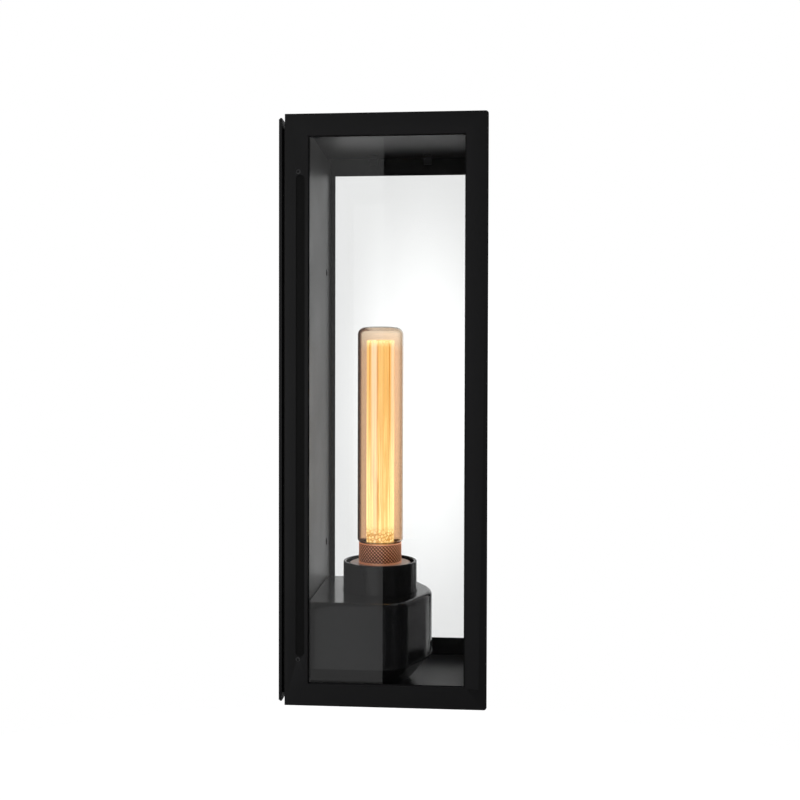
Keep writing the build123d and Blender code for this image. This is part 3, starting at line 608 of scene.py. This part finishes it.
@dataclass(frozen=True)
class PlatedMetal:
    """Plated or bare metal with handling marks."""

    name: str
    colour: Colour
    rough_low: float = 0.2
    rough_high: float = 0.36
    brush: Point = (1.0, 1.0, 1.0)
    brush_scale: float = 900.0

    def make(self) -> bpy.types.Material:
        """Builds the finish's node graph.

        Returns:
            The material.
        """
        graph = Graph(self.name)
        marks = graph.noise(self.brush_scale, 4.0, 0.6, graph.stretched(self.brush))
        stain = graph.noise(120.0, 4.0)
        dark = tuple(c * 0.72 for c in self.colour)
        colour = graph.ramp(stain, [(0.28, dark), (0.62, self.colour)])
        rough = graph.spread(marks, self.rough_low, self.rough_high, 0.3, 0.7)
        normal = graph.bump(marks, 0.000008, 0.6)
        graph.principled(base_color=colour, metallic=1.0, roughness=rough, normal=normal)
        return graph.material


@dataclass(frozen=True)
class KnurledCopper:
    """Copper plate with a painted highlight on the knurl's points, dark tarnish deepened as painted shade in
    its grooves, and a painted orange glow from the bulb.
    """

    name: str = "copper_collar"
    colour: Colour = (0.95, 0.50, 0.32)
    # tarnish in the grooves, made darker as painted shade
    tarnish_and_shade: Colour = (0.045, 0.014, 0.008)
    # strength of the painted orange glow of the bulb's light on the copper
    painted_glow: float = 0.62
    painted_glow_height: float = 16.0 * MM

    def make(self) -> bpy.types.Material:
        """Builds the finish's node graph.

        Returns:
            The material.
        """
        graph = Graph(self.name)
        marks = graph.noise(1400.0, 4.0, 0.6)
        # Dark tarnish in the knurl's grooves, deepened as painted shade; the last, palest stop on the points
        # is a painted highlight.
        height = graph.spread(graph.radial(), 0.0, 1.0, COLLAR_RADIUS - KNURL_DEPTH, COLLAR_RADIUS)
        worn = graph.maths("ADD", height, graph.spread(marks, -0.15, 0.15, 0.3, 0.7), clamp=True)
        colour = graph.ramp(worn, [(0.25, self.tarnish_and_shade), (0.6, self.colour), (1.0, (1.0, 0.78, 0.60))])
        rough = graph.spread(worn, 0.7, 0.34)
        normal = graph.bump(marks, 0.00002, 0.7)
        # Painted glow: the copper emits orange light, stronger up the collar and on the knurl's points, for
        # the bulb's light falling on it.
        _, _, z = graph.from_axis()
        painted_glow = graph.spread(z, self.painted_glow * 0.35, self.painted_glow, COLLAR_FOOT, COLLAR_FOOT + self.painted_glow_height)
        painted_glow = graph.maths("MULTIPLY", painted_glow, graph.maths("MULTIPLY", worn, worn))
        graph.principled(
            base_color=colour, metallic=1.0, roughness=rough, normal=normal,
            emission_color=(1.0, 0.33, 0.14), emission_strength=painted_glow,
        )
        return graph.material


@dataclass(frozen=True)
class SoftBody:
    """Rubber, foam, ceramic or plain plastic with a fine grain."""

    name: str
    colour: Colour
    rough_low: float = 0.45
    rough_high: float = 0.62
    grain: float = 1200.0
    grain_height: float = 0.00003
    glow_through: float = 0.0

    def make(self) -> bpy.types.Material:
        """Builds the finish's node graph.

        Returns:
            The material.
        """
        graph = Graph(self.name)
        grain = graph.noise(self.grain, 3.0)
        dirt = graph.noise(55.0, 5.0, 0.6)
        dark = tuple(c * 0.82 for c in self.colour)
        colour = graph.ramp(dirt, [(0.3, dark), (0.6, self.colour)])
        rough = graph.spread(grain, self.rough_low, self.rough_high, 0.3, 0.7)
        normal = graph.bump(grain, self.grain_height, 0.6)
        graph.principled(
            base_color=colour, roughness=rough, normal=normal, subsurface_weight=self.glow_through,
            subsurface_scale=0.002,
        )
        return graph.material


@dataclass(frozen=True)
class StripedWire:
    """Earth wire's insulation: green with a yellow stripe."""

    name: str = "earth_insulation"
    green: Colour = (0.03, 0.20, 0.035)
    yellow: Colour = (0.75, 0.55, 0.03)

    def make(self) -> bpy.types.Material:
        """Builds the finish's node graph.

        Returns:
            The material.
        """
        graph = Graph(self.name)
        wave = graph.add("TexWave", wave_type="BANDS", bands_direction="DIAGONAL")
        graph.put(wave.inputs["Vector"], graph.place())
        wave.inputs["Scale"].default_value = 220.0
        wave.inputs["Distortion"].default_value = 0.4
        stops = [(0.0, self.green), (0.52, self.green), (0.56, self.yellow), (1.0, self.yellow)]
        colour = graph.ramp(wave.outputs["Fac"], stops)
        rough = graph.spread(graph.noise(300.0), 0.35, 0.5, 0.3, 0.7)
        graph.principled(base_color=colour, roughness=rough)
        return graph.material


class Finish(Enum):
    """Every finish on the lantern."""

    POWDER = PowderCoat()
    POST_POWDER = PowderCoat("post_powder_coat", grooved=True)
    PANE = PaneGlass()
    HOUSING = Moulding("housing_gloss_black")
    CUP = Moulding("cup_black", (0.0028, 0.0028, 0.003), 0.14, 0.22)
    AMBER = AmberGlass()
    GUIDE = LitAcrylic()
    ENGRAVING = EngravedLight()
    COPPER = KnurledCopper()
    NICKEL = PlatedMetal("nickel_cap", (0.68, 0.64, 0.56), 0.16, 0.3)
    BRASS = PlatedMetal("bright_brass", (0.80, 0.55, 0.22), 0.2, 0.34)
    ZINC = PlatedMetal("zinc_plate", (0.60, 0.61, 0.63), 0.3, 0.45)
    SCREW_STEEL = PlatedMetal("lock_screw_steel", (0.17, 0.17, 0.175), 0.34, 0.46)
    BLACK_STEEL = PlatedMetal("black_oxide_steel", (0.10, 0.10, 0.105), 0.34, 0.46)
    CERAMIC = SoftBody("white_ceramic", (0.82, 0.80, 0.75), 0.12, 0.22, 400.0, 0.00002)
    SILICONE = SoftBody("warm_white_silicone", (0.84, 0.64, 0.50), 0.30, 0.42, 900.0, 0.00001, 0.2)
    FOAM = SoftBody("foam_tape", (0.02, 0.02, 0.021), 0.8, 0.95, 3000.0, 0.0001)
    RUBBER = SoftBody("grommet_rubber", (0.018, 0.018, 0.018), 0.5, 0.65)
    TERMINAL = SoftBody("terminal_plastic", (0.62, 0.61, 0.57), 0.35, 0.5)
    BROWN = SoftBody("brown_insulation", (0.14, 0.055, 0.02), 0.35, 0.5)
    BLUE = SoftBody("blue_insulation", (0.03, 0.11, 0.36), 0.35, 0.5)
    EARTH = StripedWire()
    BOARD = SoftBody("board_white", (0.80, 0.79, 0.74), 0.3, 0.42, 600.0, 0.00001)
    SOLDER_MASK = SoftBody("board_green", (0.015, 0.12, 0.04), 0.25, 0.36, 500.0, 0.00001)
    VITRITE = SoftBody("cap_insulator", (0.012, 0.010, 0.014), 0.08, 0.16, 300.0, 0.00002)


class Paintbox:
    """Makes each finish once and puts it on objects."""

    def __init__(self) -> None:
        """Starts with no finish made."""
        self._made: dict[Finish, bpy.types.Material] = {}

    def get(self, finish: Finish) -> bpy.types.Material:
        """Finds a finish's material, making it the first time.

        Args:
            finish: the finish.

        Returns:
            The material.
        """
        if finish not in self._made:
            self._made[finish] = finish.value.make()
        return self._made[finish]

    def dress(self, obj: bpy.types.Object, finish: Finish) -> None:
        """Puts one finish over a whole object.

        Args:
            obj: the object.
            finish: the finish.
        """
        obj.data.materials.clear()
        obj.data.materials.append(self.get(finish))


PAINT = Paintbox()


# ---- Meshes -------------------------------------------------------------------------------------
def add_object(
    name: str, points: Sequence[Point], faces: Sequence[Sequence[int]], smooth: bool = True
) -> bpy.types.Object:
    """Makes a mesh object from points and faces.

    Args:
        name: the object's name.
        points: its points, in metres in the lantern's frame.
        faces: indices of each face's points.
        smooth: whether its faces shade smoothly.

    Returns:
        The new object.
    """
    mesh = bpy.data.meshes.new(name)
    mesh.from_pydata([tuple(p) for p in points], [], [tuple(f) for f in faces])
    mesh.validate()
    shell = bmesh.new()
    shell.from_mesh(mesh)
    bmesh.ops.recalc_face_normals(shell, faces=shell.faces)
    shell.to_mesh(mesh)
    shell.free()
    mesh.polygons.foreach_set("use_smooth", [smooth] * len(mesh.polygons))
    mesh.update()
    obj = bpy.data.objects.new(name, mesh)
    bpy.context.scene.collection.objects.link(obj)
    return obj


def arc(centre: Pair, radius: float, start: float, end: float, steps: int = 8) -> list[Pair]:
    """Makes a round stretch of a profile.

    Args:
        centre: the arc's centre, as radius and height.
        radius: the arc's radius.
        start: where it starts, in degrees from outwards.
        end: where it ends.
        steps: how many spans it has.

    Returns:
        Its points.
    """
    angles = [math.radians(start + (end - start) * i / steps) for i in range(steps + 1)]
    return [(centre[0] + radius * math.cos(a), centre[1] + radius * math.sin(a)) for a in angles]


def lathe(name: str, profile: Sequence[Pair], segments: int = 128, closed: bool = True) -> bpy.types.Object:
    """Turns a profile round the bulb's axis.

    Args:
        name: the object's name.
        profile: points of radius and height; a radius of 0 makes a pole.
        segments: how many steps round.
        closed: whether the last point joins the first.

    Returns:
        The turned object.
    """
    points: list[Point] = []
    rings: list[list[int]] = []
    for radius, height in profile:
        if radius < 1e-7:
            rings.append([len(points)] * segments)
            points.append((AXIS.x, AXIS.y, height))
            continue
        rings.append(list(range(len(points), len(points) + segments)))
        points += [round_axis(radius, 2 * math.pi * step / segments, height) for step in range(segments)]
    faces = []
    pairs = list(zip(rings, rings[1:])) + ([(rings[-1], rings[0])] if closed else [])
    for low, high in pairs:
        for step in range(segments):
            after = (step + 1) % segments
            corners = [low[step], low[after], high[after], high[step]]
            corners = [c for i, c in enumerate(corners) if c not in corners[:i]]
            if len(corners) > 2:
                faces.append(corners)
    return add_object(name, points, faces)


def turned(name: str, levels: Sequence[tuple[float, Reach]], around: int) -> bpy.types.Object:
    """Makes a closed surface from rings round the bulb's axis that needn't be round.

    Args:
        name: the object's name.
        levels: each ring's height, and its reach at each angle.
        around: how many steps round.

    Returns:
        The new object.
    """
    angles = [2 * math.pi * step / around for step in range(around)]
    points = [round_axis(reach(angle), angle, height) for height, reach in levels for angle in angles]
    faces = []
    for ring in range(len(levels)):
        low, high = ring * around, (ring + 1) % len(levels) * around
        for step in range(around):
            after = (step + 1) % around
            faces.append([low + step, low + after, high + after, high + step])
    return add_object(name, points, faces)


def soften(obj: bpy.types.Object, width: float, angle: float = 35.0, segments: int = 2) -> None:
    """Rounds an object's sharp edges a little, as folded or moulded edges are.

    Args:
        obj: the object.
        width: the rounding's width, in metres.
        angle: the least turn between faces that counts as an edge, in degrees.
        segments: how many spans the rounding has.
    """
    weld = obj.modifiers.new("join", "WELD")
    weld.merge_threshold = 0.000002
    bevel = obj.modifiers.new("edge", "BEVEL")
    bevel.width = width
    bevel.segments = segments
    bevel.limit_method = "ANGLE"
    bevel.angle_limit = math.radians(angle)
    bevel.use_clamp_overlap = True
    bevel.harden_normals = True


# ---- Sub-assemblies -----------------------------------------------------------------------------
@dataclass
class SubAssembly:
    """A group of frame nodes with the finish of each."""

    finishes: dict[str, Finish] = field(default_factory=dict)
    softened: dict[str, float] = field(default_factory=dict)

    def build(self) -> list[bpy.types.Object]:
        """Returns the extra pieces that this sub-assembly makes."""
        return []

    def dress(self) -> None:
        """Puts its finish and edge rounding on each of its frame nodes."""
        for name, finish in self.finishes.items():
            PAINT.dress(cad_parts[name], finish)
        for name, width in self.softened.items():
            soften(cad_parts[name], width)


@dataclass
class Cage(SubAssembly):
    """Folded sheet cage with its glazing and clips."""

    edge: float = 0.25 * MM
    pane_edge: float = 0.35 * MM

    def __post_init__(self) -> None:
        """Lists the cage's nodes."""
        sheets = ("left_side_panel", "right_side_panel", "front_frame", "top_plate", "bottom_plate")
        panes = ("left_glass", "right_glass", "front_glass")
        self.finishes = {name: Finish.POST_POWDER if "side" in name else Finish.POWDER for name in sheets}
        self.finishes |= {name: Finish.PANE for name in panes}
        self.finishes |= {f"{name}_tape": Finish.FOAM for name in panes}
        self.finishes |= {f"{name}_clips": Finish.BLACK_STEEL for name in panes}
        self.finishes["weld_nuts"] = Finish.BLACK_STEEL
        self.softened = {name: self.edge for name in sheets}
        self.softened |= {name: self.pane_edge for name in panes}


@dataclass
class LockScrews(SubAssembly):
    """Four flush socket screws in the rear posts."""

    def __post_init__(self) -> None:
        """Lists the screws."""
        names = [f"{side}_{end}_lock_screw" for side in ("left", "right") for end in ("upper", "lower")]
        self.finishes = {name: Finish.SCREW_STEEL for name in names}


@dataclass
class Tray(SubAssembly):
    """Back tray with its gasket, spacers, grommet and earth terminal."""

    edge: float = 0.3 * MM

    def __post_init__(self) -> None:
        """Lists the tray's nodes."""
        self.finishes = {
            "back_tray": Finish.POWDER, "wall_gasket": Finish.FOAM, "wall_spacers": Finish.ZINC,
            "cable_grommet": Finish.RUBBER, "earth_stud": Finish.ZINC, "earth_nut": Finish.ZINC,
        }
        self.softened = {"back_tray": self.edge}


@dataclass
class Housing(SubAssembly):
    """Lampholder housing with its wiring."""

    def __post_init__(self) -> None:
        """Lists the housing's nodes."""
        self.finishes = {
            "housing_shell": Finish.HOUSING, "housing_base": Finish.HOUSING,
            "housing_gasket": Finish.FOAM, "housing_screws": Finish.ZINC,
            "terminal_block": Finish.TERMINAL, "terminal_screws": Finish.BRASS,
            "live_wire": Finish.BROWN, "neutral_wire": Finish.BLUE, "earth_wire": Finish.EARTH,
        }
        self.softened = {"housing_shell": 0.3 * MM, "housing_base": 0.4 * MM}


@dataclass
class Lampholder(SubAssembly):
    """Cup, ceramic holder, contacts and neck seal."""

    def __post_init__(self) -> None:
        """Lists the lampholder's nodes."""
        self.finishes = {
            "lampholder_cup": Finish.CUP, "lampholder_body": Finish.CERAMIC, "screw_shell": Finish.BRASS,
            "centre_contact": Finish.BRASS, "side_contact": Finish.BRASS, "holder_screws": Finish.ZINC,
            "neck_seal": Finish.SILICONE,
        }
        self.softened = {"lampholder_cup": 0.4 * MM}


@dataclass
class Bulb(SubAssembly):
    """Slim amber tube bulb with an engraved light guide."""

    wall: float = 0.8 * MM
    top_corner: float = 5.0 * MM
    shoulder_bend: float = 2.6 * MM
    neck_radius: float = 13.6 * MM
    guide_bore: float = 6.4 * MM
    line_count: int = 44
    knurl_count: int = 38
    knurl_rows: int = 5
    knurl_run_out: float = 0.2 * MM
    collar_wall: float = 1.3 * MM
    collar_floor: float = 3.4 * MM
    collar_band: float = 0.8 * MM
    collar_foot_band: float = 1.2 * MM
    chamfer: float = 0.3 * MM
    thread_pitch: float = 3.62 * MM
    thread_depth: float = 0.9 * MM
    cap_wall: float = 0.7 * MM
    cap_rows: int = 110
    cap_steps: int = 72

    def __post_init__(self) -> None:
        """Lists the bulb's nodes that keep their own shape."""
        self.finishes = {
            "led_board": Finish.BOARD, "driver_board": Finish.SOLDER_MASK,
            "cap_insulator": Finish.VITRITE, "tip_contact": Finish.ZINC,
        }

    def build(self) -> list[bpy.types.Object]:
        """Makes the envelope, guide, engraving, collar and cap.

        Returns:
            Those pieces.
        """
        made = [self.envelope(), self.guide(), self.engraving(), self.collar(), self.cap()]
        for piece in made:
            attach(piece, "bulb")
        return made

    def envelope(self) -> bpy.types.Object:
        """Makes the glass envelope, with a flat rounded top and a drawn-in neck.

        Returns:
            The envelope.
        """
        low, high = node_box("glass_envelope")
        radius, top, foot = (high.x - low.x) / 2, high.z, low.z
        shoulder = node_box("knurled_collar")[1].z
        outer = self.top_corner
        inner = outer - self.wall
        bend = self.shoulder_bend
        inset = radius - self.wall
        profile = [(0.0, top)]
        profile += arc((radius - outer, top - outer), outer, 90, 0, 14)
        profile += arc((radius - bend, shoulder + bend), bend, 0, -80, 8)
        profile += [(self.neck_radius, shoulder - 0.3 * MM), (self.neck_radius, foot)]
        bore = self.neck_radius - self.wall
        profile += [(bore, foot), (bore, shoulder + self.wall)]
        profile += arc((inset - bend + self.wall, shoulder + bend), bend - self.wall, -80, 0, 8)
        profile += arc((inset - inner, top - self.wall - inner), inner, 0, 90, 14)
        profile += [(0.0, top - self.wall)]
        piece = lathe("bulb_envelope", profile, 160, closed=False)
        PAINT.dress(piece, Finish.AMBER)
        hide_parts("glass_envelope")
        return piece

    def guide(self) -> bpy.types.Object:
        """Makes the clear tube inside the envelope.

        Returns:
            The tube.
        """
        low, high = node_box("light_guide")
        radius = (high.x - low.x) / 2
        lip = 0.8 * MM
        profile = [(self.guide_bore, low.z), (radius, low.z)]
        profile += arc((radius - lip, high.z - lip), lip, 0, 90, 5)
        profile += arc((self.guide_bore + lip, high.z - lip), lip, 90, 180, 5)
        piece = lathe("engraved_light_guide", profile, 120)
        PAINT.dress(piece, Finish.GUIDE)
        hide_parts("light_guide")
        return piece

    def engraving(self) -> bpy.types.Object:
        """Makes the glowing lines cut in the guide's bore.

        Returns:
            The lines, as one piece.
        """
        draw = random.Random(7)
        points: list[Point] = []
        faces: list[list[int]] = []
        foot, top = GUIDE_FOOT + 3.0 * MM, GUIDE_TOP - 1.5 * MM
        radius = self.guide_bore - 0.02 * MM
        for line in range(self.line_count):
            angle = 2 * math.pi * (line + draw.uniform(-0.3, 0.3)) / self.line_count
            half = draw.uniform(0.10, 0.32) * MM / radius
            end = top if draw.random() < 0.7 else foot + (top - foot) * draw.uniform(0.35, 0.9)
            self._strip(points, faces, angle, half, radius, foot, end)
        piece = add_object("guide_engraving", points, faces)
        PAINT.dress(piece, Finish.ENGRAVING)
        return piece

    @staticmethod
    def _strip(
        points: list[Point], faces: list[list[int]], angle: float, half: float, radius: float,
        foot: float, end: float,
    ) -> None:
        """Adds one thin raised line to the engraving.

        Args:
            points: the engraving's points so far.
            faces: its faces so far.
            angle: where round the guide the line lies.
            half: half its width, in radians.
            radius: the bore's radius.
            foot: its lower end.
            end: its upper end.
        """
        first = len(points)
        for z in (foot, end):
            for share, depth in ((-half, 0.0), (half, 0.0), (0.0, 0.12 * MM)):
                points.append(round_axis(radius - depth, angle + share, z))
        a, b, c, d, e, f = range(first, first + 6)
        faces += [[a, b, e, d], [b, c, f, e], [c, a, d, f], [a, c, b], [d, e, f]]

    def collar(self) -> bpy.types.Object:
        """Makes the collar, with a diamond knurl between two plain bands.

        Returns:
            The collar.
        """
        low, high = node_box("knurled_collar")
        band_top = high.z - self.collar_band
        band_foot = node_box("neck_seal")[1].z + self.collar_foot_band
        rows = self.knurl_rows * 6
        floor = low.z + self.collar_wall

        def plain(radius: float) -> Reach:
            """Returns a reach that is the same all round."""
            return lambda angle: radius

        def knurled(rise: float) -> Reach:
            """Returns the knurl's reach at a rise up the pattern."""
            return lambda angle: COLLAR_RADIUS - KNURL_DEPTH * self._knurl(angle, rise)

        side, chamfered = plain(COLLAR_RADIUS), plain(COLLAR_RADIUS - self.chamfer)
        hole, inner = plain(COLLAR_RADIUS - self.collar_floor), plain(COLLAR_RADIUS - self.collar_wall)
        levels = [(low.z, hole), (low.z, chamfered), (low.z + self.chamfer, side)]
        levels.append((band_foot - self.knurl_run_out, side))
        for row in range(rows + 1):
            share = row / rows
            rise = math.pi * self.knurl_rows * share
            levels.append((band_foot + (band_top - band_foot) * share, knurled(rise)))
        levels += [(band_top + self.knurl_run_out, side), (high.z - self.chamfer, side)]
        levels += [(high.z, chamfered), (high.z, inner), (floor, inner), (floor, hole)]
        piece = turned("knurled_neck_collar", levels, self.knurl_count * 6)
        PAINT.dress(piece, Finish.COPPER)
        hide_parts("knurled_collar")
        return piece

    def _knurl(self, angle: float, rise: float) -> float:
        """Finds how deep the knurl is cut at a place.

        Args:
            angle: the place round the collar.
            rise: the place up it, as an angle of the pattern.

        Returns:
            The depth, from 0 on a point to 1 in a groove.
        """
        one = abs(math.sin(self.knurl_count * angle / 2 + rise))
        two = abs(math.sin(self.knurl_count * angle / 2 - rise))
        return 1.0 - min(1.0, 1.2 * one * two)

    def cap(self) -> bpy.types.Object:
        """Makes the rolled cap with its helical thread.

        Returns:
            The cap.
        """
        low, high = node_box("bulb_cap")
        crest = half_width("bulb_cap")
        root = crest - self.thread_depth

        def threaded(share: float) -> Reach:
            """Shapes the thread at one height.

            Args:
                share: the height, as a share of the cap's.

            Returns:
                The reach at each angle.
            """
            fade = min(1.0, 4.0 * share, 4.0 * (1.0 - share))
            turns = 2 * math.pi * (high.z - low.z) * share / self.thread_pitch
            depth = self.thread_depth * fade
            return lambda angle: root + depth * (0.5 + 0.5 * math.sin(turns - angle)) ** 0.8

        rows = self.cap_rows
        levels = [(low.z + (high.z - low.z) * row / rows, threaded(row / rows)) for row in range(rows + 1)]
        levels += [(z, lambda angle: root - self.cap_wall) for z in (high.z, low.z)]
        piece = turned("threaded_cap", levels, self.cap_steps)
        PAINT.dress(piece, Finish.NICKEL)
        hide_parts("bulb_cap")
        return piece


# ---- Studio -------------------------------------------------------------------------------------
@dataclass(frozen=True)
class Softbox:
    """Rectangular soft lamp: its middle, what it faces, its size and how bright its face looks."""

    name: str
    place: Point
    target: Point
    size: Pair
    radiance: float
    mirrored: bool = True

    def hang(self) -> None:
        """Adds the lamp, out of the camera's sight, and out of reflections and glass if not mirrored."""
        data = bpy.data.lights.new(self.name, "AREA")
        data.shape = "RECTANGLE"
        data.size, data.size_y = self.size
        data.energy = self.radiance * math.pi * data.size * data.size_y
        obj = bpy.data.objects.new(self.name, data)
        obj.location = self.place
        facing = Vector(self.target) - Vector(self.place)
        obj.rotation_euler = facing.to_track_quat("-Z", "Y").to_euler()
        obj.visible_camera = False
        obj.visible_transmission = self.mirrored
        obj.visible_glossy = self.mirrored
        bpy.context.scene.collection.objects.link(obj)


@dataclass
class Studio:
    """White sweep, pale floor, soft lamps and the camera."""

    camera_place: Point = (-0.68329, -0.12473, 0.01740)
    camera_ahead: Point = (0.99712, 0.07402, -0.01624)
    camera_up: Point = (0.01602, 0.00366, 0.99987)
    lens: float = 44.02
    floor_height: float = -0.62
    floor_radius: float = 1.25
    backdrop: float = 1.0
    pool: float = 1.42
    pool_middle: Point = (1.0, 0.0485, -0.016)
    pool_squeeze: Point = (1.0, 15.0, 6.0)
    pool_edge: Pair = (0.3, 1.5)
    room_edge: Pair = (0.42, 0.85)
    room_tones: Pair = (0.012, 0.95)

    def build(self) -> None:
        """Makes the camera, the surroundings, the floor and the lamps."""
        self.camera()
        self.surroundings()
        self.floor()
        self.lamps()
        bpy.context.scene.view_settings.view_transform = "Standard"

    def camera(self) -> None:
        """Places the camera at the side of the lantern."""
        data = bpy.data.cameras.new("camera")
        data.lens = self.lens
        data.sensor_width = 36.0
        data.clip_start = 0.01
        obj = bpy.data.objects.new("camera", data)
        ahead = Vector(self.camera_ahead).normalized()
        right = ahead.cross(Vector(self.camera_up)).normalized()
        up = right.cross(ahead)
        turn = Matrix((right, up, -ahead)).transposed().to_4x4()
        obj.matrix_world = Matrix.Translation(self.camera_place) @ turn
        bpy.context.scene.collection.objects.link(obj)
        bpy.context.scene.camera = obj

    def surroundings(self) -> None:
        """Makes a white sweep behind the lantern, with a brighter pool, and a dark room before it."""
        world = bpy.data.worlds.new("studio")
        bpy.context.scene.world = world
        world.use_nodes = True
        tree = world.node_tree
        tree.nodes.clear()

        def add(kind: str) -> bpy.types.Node:
            """Adds a node to the surroundings."""
            return tree.nodes.new("ShaderNode" + kind)

        def link(start: Socket, end: Socket) -> None:
            """Links two sockets."""
            tree.links.new(start, end)

        out, mix = add("OutputWorld"), add("MixShader")
        seen, mirrored = add("Background"), add("Background")
        seen.inputs["Color"].default_value = (1.0, 1.0, 1.0, 1.0)
        direction, split, ramp = add("TexCoord"), add("SeparateXYZ"), add("ValToRGB")
        link(direction.outputs["Generated"], split.inputs[0])
        link(split.outputs["X"], ramp.inputs["Fac"])
        room = zip(ramp.color_ramp.elements, self.room_edge, self.room_tones)
        for element, position, tone in room:
            element.position = position
            element.color = (tone, tone, tone, 1.0)
        link(ramp.outputs["Color"], mirrored.inputs["Color"])
        offset, squeeze, distance = add("VectorMath"), add("VectorMath"), add("VectorMath")
        offset.operation, squeeze.operation, distance.operation = "SUBTRACT", "MULTIPLY", "LENGTH"
        offset.inputs[1].default_value = self.pool_middle
        squeeze.inputs[1].default_value = self.pool_squeeze
        link(direction.outputs["Generated"], offset.inputs[0])
        link(offset.outputs[0], squeeze.inputs[0])
        link(squeeze.outputs[0], distance.inputs[0])
        pool = add("MapRange")
        pool.interpolation_type = "SMOOTHSTEP"
        limits = (*self.pool_edge, self.pool, self.backdrop)
        for name, value in zip(("From Min", "From Max", "To Min", "To Max"), limits):
            pool.inputs[name].default_value = value
        link(distance.outputs["Value"], pool.inputs["Value"])
        link(pool.outputs["Result"], seen.inputs["Strength"])
        path, total, bounced = add("LightPath"), add("Math"), add("Math")
        total.operation, bounced.operation = "ADD", "GREATER_THAN"
        link(path.outputs["Glossy Depth"], total.inputs[0])
        link(path.outputs["Diffuse Depth"], total.inputs[1])
        link(total.outputs[0], bounced.inputs[0])
        bounced.inputs[1].default_value = 0.5
        link(bounced.outputs[0], mix.inputs[0])
        link(seen.outputs[0], mix.inputs[1])
        link(mirrored.outputs[0], mix.inputs[2])
        link(mix.outputs[0], out.inputs["Surface"])

    def floor(self) -> None:
        """Lays a plain pale floor well below the lantern."""
        steps = 96
        angles = [2 * math.pi * step / steps for step in range(steps)]
        rim = [(self.floor_radius * math.cos(a), self.floor_radius * math.sin(a)) for a in angles]
        points = [(x, y, self.floor_height) for x, y in [(0.0, 0.0)] + rim]
        faces = [[0, 1 + step, 1 + (step + 1) % steps] for step in range(steps)]
        floor = add_object("pale_floor", points, faces, smooth=False)
        graph = Graph("pale_floor")
        tone = graph.ramp(graph.noise(6.0, 4.0), [(0.2, (0.90, 0.90, 0.90)), (0.8, (0.95, 0.95, 0.95))])
        path = graph.add("LightPath")
        seen = graph.maths("MAXIMUM", path.outputs["Is Camera Ray"], path.outputs["Is Transmission Ray"])
        tone = graph.blend(seen, (0.05, 0.05, 0.05), tone)
        glow = graph.maths("MULTIPLY", seen, 0.80)
        graph.principled(
            base_color=tone, roughness=0.8, emission_color=(1.0, 1.0, 1.0), emission_strength=glow
        )
        floor.data.materials.append(graph.material)

    def lamps(self) -> None:
        """Hangs the soft lamps."""
        boxes = (
            Softbox("left_card", (-2.0, 0.66, 0.0), (0.0, 0.66, 0.0), (1.10, 2.2), 0.36),
            Softbox("left_fill", (-0.26, 0.20, 0.08), (-0.06, 0.0, 0.02), (0.08, 0.42), 3.0, mirrored=False),
            Softbox("top_box", (0.2, -0.3, 1.7), (0.0, -0.06, 0.0), (1.2, 1.2), 1.0),
        )
        for box in boxes:
            box.hang()


def main() -> None:
    """Builds the studio and every sub-assembly in order."""
    logging.basicConfig(level=logging.INFO, format="%(name)s: %(message)s")
    Studio().build()
    for assembly in (Cage(), LockScrews(), Tray(), Housing(), Lampholder(), Bulb()):
        made = assembly.build()
        assembly.dress()
        kind = type(assembly).__name__
        for name, finish in assembly.finishes.items():
            LOG.info("%s: %s dressed in %s", kind, name, finish.name.lower())
        for piece in made:
            LOG.info("%s: %s made", kind, piece.name)


if __name__ == "__main__":
    main()
